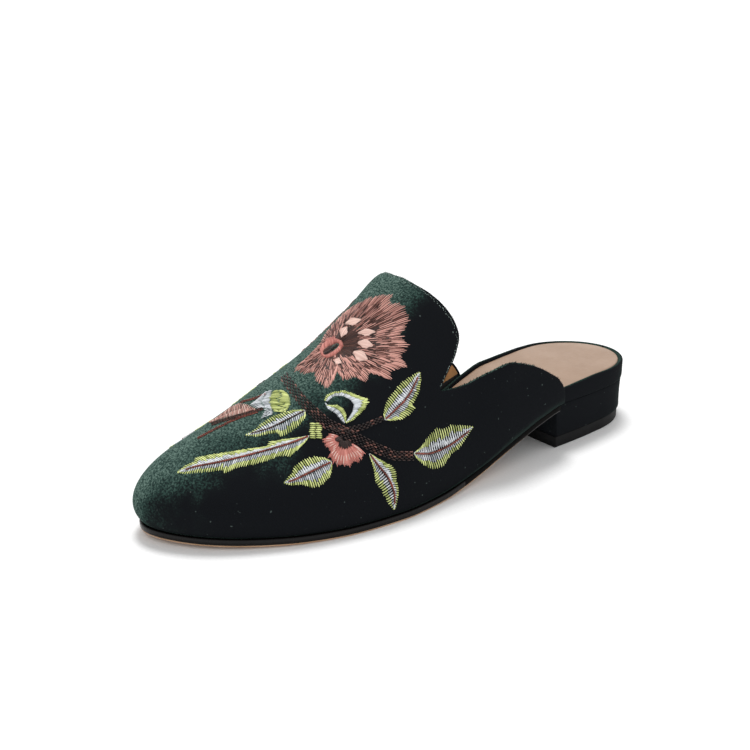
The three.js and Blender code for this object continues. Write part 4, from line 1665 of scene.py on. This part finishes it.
    def bud(self, shape: BudShape) -> None:
        """Stitches the bud over the toe: lime cup, silver throat, pink petal and dark red strokes.

        Args:
            shape: Its lines.
        """
        for k in range(shape.cup_rows):
            y = shape.cup_top + k * shape.cup_step
            off = y - shape.cup_middle
            bulge = math.sqrt(max(1 - (off / shape.cup_half_height) ** 2, 0))
            seam = shape.cup_seam + self.jitter(2.2)
            left = shape.cup_left - shape.cup_left_bulge * bulge + self.jitter(1.0)
            right = shape.cup_right + shape.cup_right_bulge * bulge
            lean = shape.cup_slant * off
            self.lay(Silk.LIME, np.array([left, y - lean]), np.array([seam + 1.0, y]), self.cup)
            self.lay(Silk.LIME, np.array([seam, y]), np.array([right + self.jitter(0.4), y - lean]), self.cup)
        for share in np.arange(shape.throat_stitches) / (shape.throat_stitches - 1):
            right, left = along(shape.mouth, share), along(shape.lip, share)
            middle = left + (right - left) * (0.5 + self.jitter(0.08))
            self.lay(Silk.SILVER, right, middle, self.throat_root, 0.7)
            self.lay(Silk.SILVER, middle + (right - left) * 0.08, left, self.throat_lip, 0.7)
        slant = np.array(shape.petal_slant)
        for k in range(shape.petal_stitches):
            share = k / (shape.petal_stitches - 1)
            top, foot = along(shape.petal_top, share), along(shape.petal_foot, share)
            silk = Silk.ROSE if k % 3 == 0 else Silk.PALE
            self.lay(silk, top - slant * 0.4, top + (foot - top) * 0.6 + slant * 0.5, self.petal_upper, 0.25)
            self.lay(silk, top + (foot - top) * 0.5 - slant * 0.3, foot + slant * 0.4, self.petal_lower, 0.35)
        for silk, line, rows in shape.strokes:
            steps = int(reach(line) / shape.stroke_step)
            for row in range(rows):
                down = np.array(shape.stroke_row) * (row - (rows - 1) / 2)
                for k in range(steps):
                    ends = [along(line, (k + extra) / steps) + down for extra in (-0.2, 1.1)]
                    self.lay(silk, ends[0], ends[1], self.stroke)

    def small_block(self, shape: BlockShape) -> None:
        """Stitches the small lime block between the feathered leaf and the branch.

        Args:
            shape: Its rows and columns.
        """
        for row in range(shape.rows):
            for column in range(2):
                x = shape.corner[0] + column * shape.column_step + self.jitter(0.4)
                start = np.array([x, shape.corner[1] + row * shape.row_step])
                self.lay(Silk.LIME, start, start + np.array(shape.stitch), self.block)

    def curl(self) -> None:
        """Stitches the curl inside the crescent: lime above, silver below."""
        for share in np.arange(CURL_STITCHES) / (CURL_STITCHES - 1):
            near, far = along(CURL_LIME, share), along(CURL_SILVER, share)
            self.lay(Silk.LIME, near, near + (far - near) * 0.5, self.curl_lime)
            self.lay(Silk.SILVER, near + (far - near) * 0.45, far, self.curl_silver)

    def edge_stitches(self) -> None:
        """Runs the small pale stitches that hold the tongue's folded edge."""
        ways = np.linspace(-self.edge_end, self.edge_end, 900)
        walked = self.last.walked(ways)
        for at in np.arange(0.5, walked[-1], self.edge_spacing):
            ends = (0.0, self.edge_length)
            pair = [float(np.interp(at + extra + self.jitter(0.12), walked, ways)) for extra in ends]
            inset = self.edge_inset + self.jitter(0.38)
            places = [float(self.last.edge(np.array(way))) - inset for way in pair]
            weight, tone = self.edge_stitch, float(self.rng.random())
            stitch = (places[0], pair[0], places[1], pair[1], weight.width, weight.lift, tone)
            self.stitches[Silk.EDGE].append(stitch)

    def mirrored(self, rows: np.ndarray) -> np.ndarray:
        """Repeats stitches on the side that the picture doesn't show.

        Args:
            rows: Stitches, one a row.

        Returns:
            The mirrored ones that the camera can't see.
        """
        turned = rows.copy()
        turned[:, [1, 3]] *= -1
        y, way = (turned[:, 0] + turned[:, 2]) / 2, (turned[:, 1] + turned[:, 3]) / 2
        points, normals = self.last.surface(y, way), self.last.normal(y, way)
        towards = unit(self.origin - points)
        return turned[np.sum(normals * towards, axis=1) < self.hidden]

    def mesh(self, silk: Silk, rows: np.ndarray) -> None:
        """Makes one joined piece of all stitches of a thread.

        Args:
            silk: The thread.
            rows: Its stitches: two ends as place and way, width, lift and tone.
        """
        t = np.linspace(0, 1, self.rings)
        y = rows[:, [0]] * (1 - t) + rows[:, [2]] * t
        way = rows[:, [1]] * (1 - t) + rows[:, [3]] * t
        points, normals = self.last.surface(y, way), self.last.normal(y, way)
        rise = np.sin(math.pi * t) ** 0.6
        centre = points + normals * (self.upper.pile - self.sink + rows[:, [5]] * rise)[..., None]
        direction = unit(np.gradient(centre, axis=1))
        side = unit(np.cross(direction, normals))
        up = np.cross(side, direction)
        taper = 0.5 + 0.5 * np.sin(math.pi * t) ** 0.5
        half = rows[:, [4]] / 2 * taper
        angles = np.arange(self.sides) * 2 * math.pi / self.sides
        ring = (
            centre[:, :, None]
            + side[:, :, None] * (np.cos(angles) * half[..., None])[..., None]
            + up[:, :, None] * (np.sin(angles) * half[..., None] * self.flatness)[..., None]
        )
        count, per = len(rows), self.rings * self.sides
        k, j = np.meshgrid(np.arange(self.rings - 1), np.arange(self.sides), indexing="ij")
        a, b = (k * self.sides + j).ravel(), (k * self.sides + (j + 1) % self.sides).ravel()
        quads = np.stack([a, b, b + self.sides, a + self.sides], axis=1)
        all_quads = (quads[None] + (np.arange(count) * per)[:, None, None]).reshape(-1, 4).tolist()
        ends = [list(range(self.sides))[::-1], list(range(per - self.sides, per))]
        caps = [[n * per + corner for corner in end] for n in range(count) for end in ends]
        name = silk.value.name.replace("thread", "stitches")
        thing = make_mesh(name, ring.reshape(-1, 3), all_quads + caps, silk.value.material())
        tone = thing.data.attributes.new("tone", "FLOAT", "POINT")
        tone.data.foreach_set("value", np.repeat(rows[:, 6], per).astype(np.float32))
        seat(thing)

    def build(self) -> None:
        """Stitches the whole ornament and makes its meshes."""
        for line, width, rows in BRANCHES:
            self.branch(line, width, rows)
        for shape in LEAVES:
            self.leaf(shape)
        self.crescent()
        self.peony()
        self.pale_petals()
        self.peony_eye()
        self.bud(BudShape())
        self.fan()
        self.small_block(BlockShape())
        self.curl()
        self.edge_stitches()
        for silk, stitches in self.stitches.items():
            rows = np.array(stitches)
            if silk is not Silk.EDGE:
                rows = np.concatenate([rows, self.mirrored(rows)])
            self.mesh(silk, rows)


@dataclass
class PileEdge:
    """The velvet's cut edge: small tufts that stand up along the quarter, and short fuzz along the tongue."""

    last: Last
    velvet: bpy.types.Material
    tuft_spacing: float = 0.8
    tuft_length: float = 1.0
    tuft_width: float = 1.0
    tuft_lean: float = 0.4
    tuft_ends: tuple[float, float] = (0.7, 0.9)
    fuzz_spacing: float = 0.45
    fuzz_length: float = 0.85
    fuzz_width: float = 0.24
    fuzz_end: float = 0.98
    root_depths: tuple[float, float] = (-0.9, 0.2)
    root_rise: float = 0.15
    lengths: tuple[float, float] = (0.55, 1.25)
    unruliness: float = 0.25

    def line(self, start: float, end: float, spacing: float) -> np.ndarray:
        """Ways round the section for tufts at even spacing along the throat's edge.

        Args:
            start: First way round.
            end: Last way round.
            spacing: Distance between tufts.

        Returns:
            The ways.
        """
        ways = np.linspace(start, end, 1200)
        walked = self.last.walked(ways)
        return np.interp(np.arange(spacing, walked[-1], spacing), walked, ways)

    def tufts(self, name: str, ways: np.ndarray, length: float, width: float, lean: float) -> None:
        """Makes one joined piece of pointed tufts along the edge.

        Args:
            name: Name of the piece.
            ways: Where the tufts stand.
            length: Their length.
            width: Their width at the foot.
            lean: How far they lean along the edge, as a share of their length.
        """
        rng = np.random.default_rng(SEED + len(ways))
        y, step, reach_back = self.last.edge(ways), 0.003, 0.2
        normal = self.last.normal(y, ways)
        run = unit(self.last.surface(self.last.edge(ways + step), ways + step) - self.last.surface(y, ways))
        out = unit(np.cross(normal, run))
        back = self.last.bare(y + reach_back, ways) - self.last.bare(y - reach_back, ways)
        out = out * np.sign(np.sum(out * back, axis=1))[:, None]
        depth = rng.uniform(*self.root_depths, len(ways))[:, None]
        foot = self.last.surface(y, ways) + normal * depth + out * self.root_rise
        long = length * rng.uniform(*self.lengths, len(ways))[:, None]
        drift = run * (lean + rng.normal(0, self.unruliness, len(ways)))[:, None]
        rise = normal * rng.normal(0.1, self.unruliness, len(ways))[:, None]
        tip = foot + unit(out + drift + rise) * long
        half = width / 2
        corners = [foot + run * half, foot + normal * half, foot - run * half, foot - normal * half, tip]
        points = np.stack(corners, axis=1)
        pattern = [(0, 1, 4), (1, 2, 4), (2, 3, 4), (3, 0, 4), (3, 2, 1, 0)]
        faces = [[5 * k + corner for corner in face] for k in range(len(ways)) for face in pattern]
        seat(make_mesh(name, points.reshape(-1, 3), faces, self.velvet, smooth=False))

    def build(self) -> None:
        """Makes the tufts of both quarters and the fuzz of the whole edge."""
        for side, sign in (("outer", 1), ("inner", -1)):
            ways = self.line(sign * self.tuft_ends[0], sign * self.tuft_ends[1], self.tuft_spacing)
            self.tufts(f"quarter_tufts_{side}", ways, self.tuft_length, self.tuft_width, self.tuft_lean)
        ways = self.line(-self.fuzz_end, self.fuzz_end, self.fuzz_spacing)
        self.tufts("edge_fuzz", ways, self.fuzz_length, self.fuzz_width, 0.0)


@dataclass(frozen=True)
class Studio:
    """A white floor in a bright-walled room, under one broad soft light from above and the inner side."""

    walls: float = 1.12
    ceiling: float = 0.82
    light_power: float = 1.85
    light_spread: float = 18.0
    light_from: tuple[float, float, float] = (-0.28, 0.15, 1.0)
    floor_half: float = 9000.0

    def build(self) -> None:
        """Lays the floor and lights the room."""
        scene = bpy.context.scene
        scene.view_settings.view_transform = "Standard"
        world = bpy.data.worlds.new("white_room")
        scene.world = world
        world.use_nodes = True
        tree = world.node_tree
        tree.nodes.clear()
        # The walls are bright up to some way above the floor's horizon; the ceiling is dimmer.
        way = add(tree, "ShaderNodeTexCoord").outputs["Generated"]
        split = add(tree, "ShaderNodeSeparateXYZ", None, Vector=way)
        strength = add(
            tree, "ShaderNodeMapRange", {"interpolation_type": "SMOOTHSTEP"},
            Value=split.outputs["Z"], From_Min=0.12, From_Max=0.4, To_Min=self.walls, To_Max=self.ceiling,
        )
        glow = add(tree, "ShaderNodeBackground", None, Color=(1, 1, 1, 1), Strength=strength.outputs[0])
        add(tree, "ShaderNodeOutputWorld", None, Surface=glow.outputs[0])
        data = bpy.data.lights.new("broad_light", "SUN")
        data.energy, data.angle = self.light_power, math.radians(self.light_spread)
        lamp = bpy.data.objects.new("broad_light", data)
        lamp.rotation_mode = "QUATERNION"
        lamp.rotation_quaternion = Vector(self.light_from).to_track_quat("Z", "Y")
        scene.collection.objects.link(lamp)
        finish = Finish("paper_floor")
        material, tree, place = finish.start()
        # Smooth white paper: almost even, with a faint tooth.
        tooth = add(tree, "ShaderNodeTexNoise", None, Vector=place, Scale=900.0, Detail=2.0)
        papers = {"stops": [(0.3, "#f1f1f1"), (0.7, "#f6f6f6")]}
        colour = add(tree, "ShaderNodeValToRGB", papers, Fac=tooth.outputs["Fac"]).outputs["Color"]
        finish.close(tree, add(tree, "ShaderNodeBsdfPrincipled", None, Base_Color=colour, Roughness=0.9))
        corners = np.array([(-1, -1, 0), (1, -1, 0), (1, 1, 0), (-1, 1, 0)]) * self.floor_half
        floor = make_mesh("floor", corners, [(0, 1, 2, 3)], material, smooth=False)


def main() -> None:
    """Builds the slipper's pieces in order, then the studio."""
    logging.basicConfig(level=logging.INFO, format="%(message)s")
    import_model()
    last = Last()
    velvet = Cloth.UPPER.value.material()
    upper = Upper(last, velvet, Hide.LINING.value.material())
    tree = upper.build()
    sole = Sole(last)
    leathers = [hide.value.material() for hide in (Hide.SOLE_EDGE, Hide.SOLE_WAIST, Hide.SOLE_TREAD)]
    sole.outsole(*leathers)
    heel_velvet = Cloth.HEEL.value.material()
    sole.footbed(heel_velvet)
    sole.insole(Hide.SOCK.value.material())
    sole.heel(heel_velvet, Rubber("rubber_lift").material())
    eye = Eye()
    Embroidery(last, upper, tree, eye).build()
    PileEdge(last, velvet).build()
    Studio().build()
    eye.build()


if __name__ == "__main__":
    main()
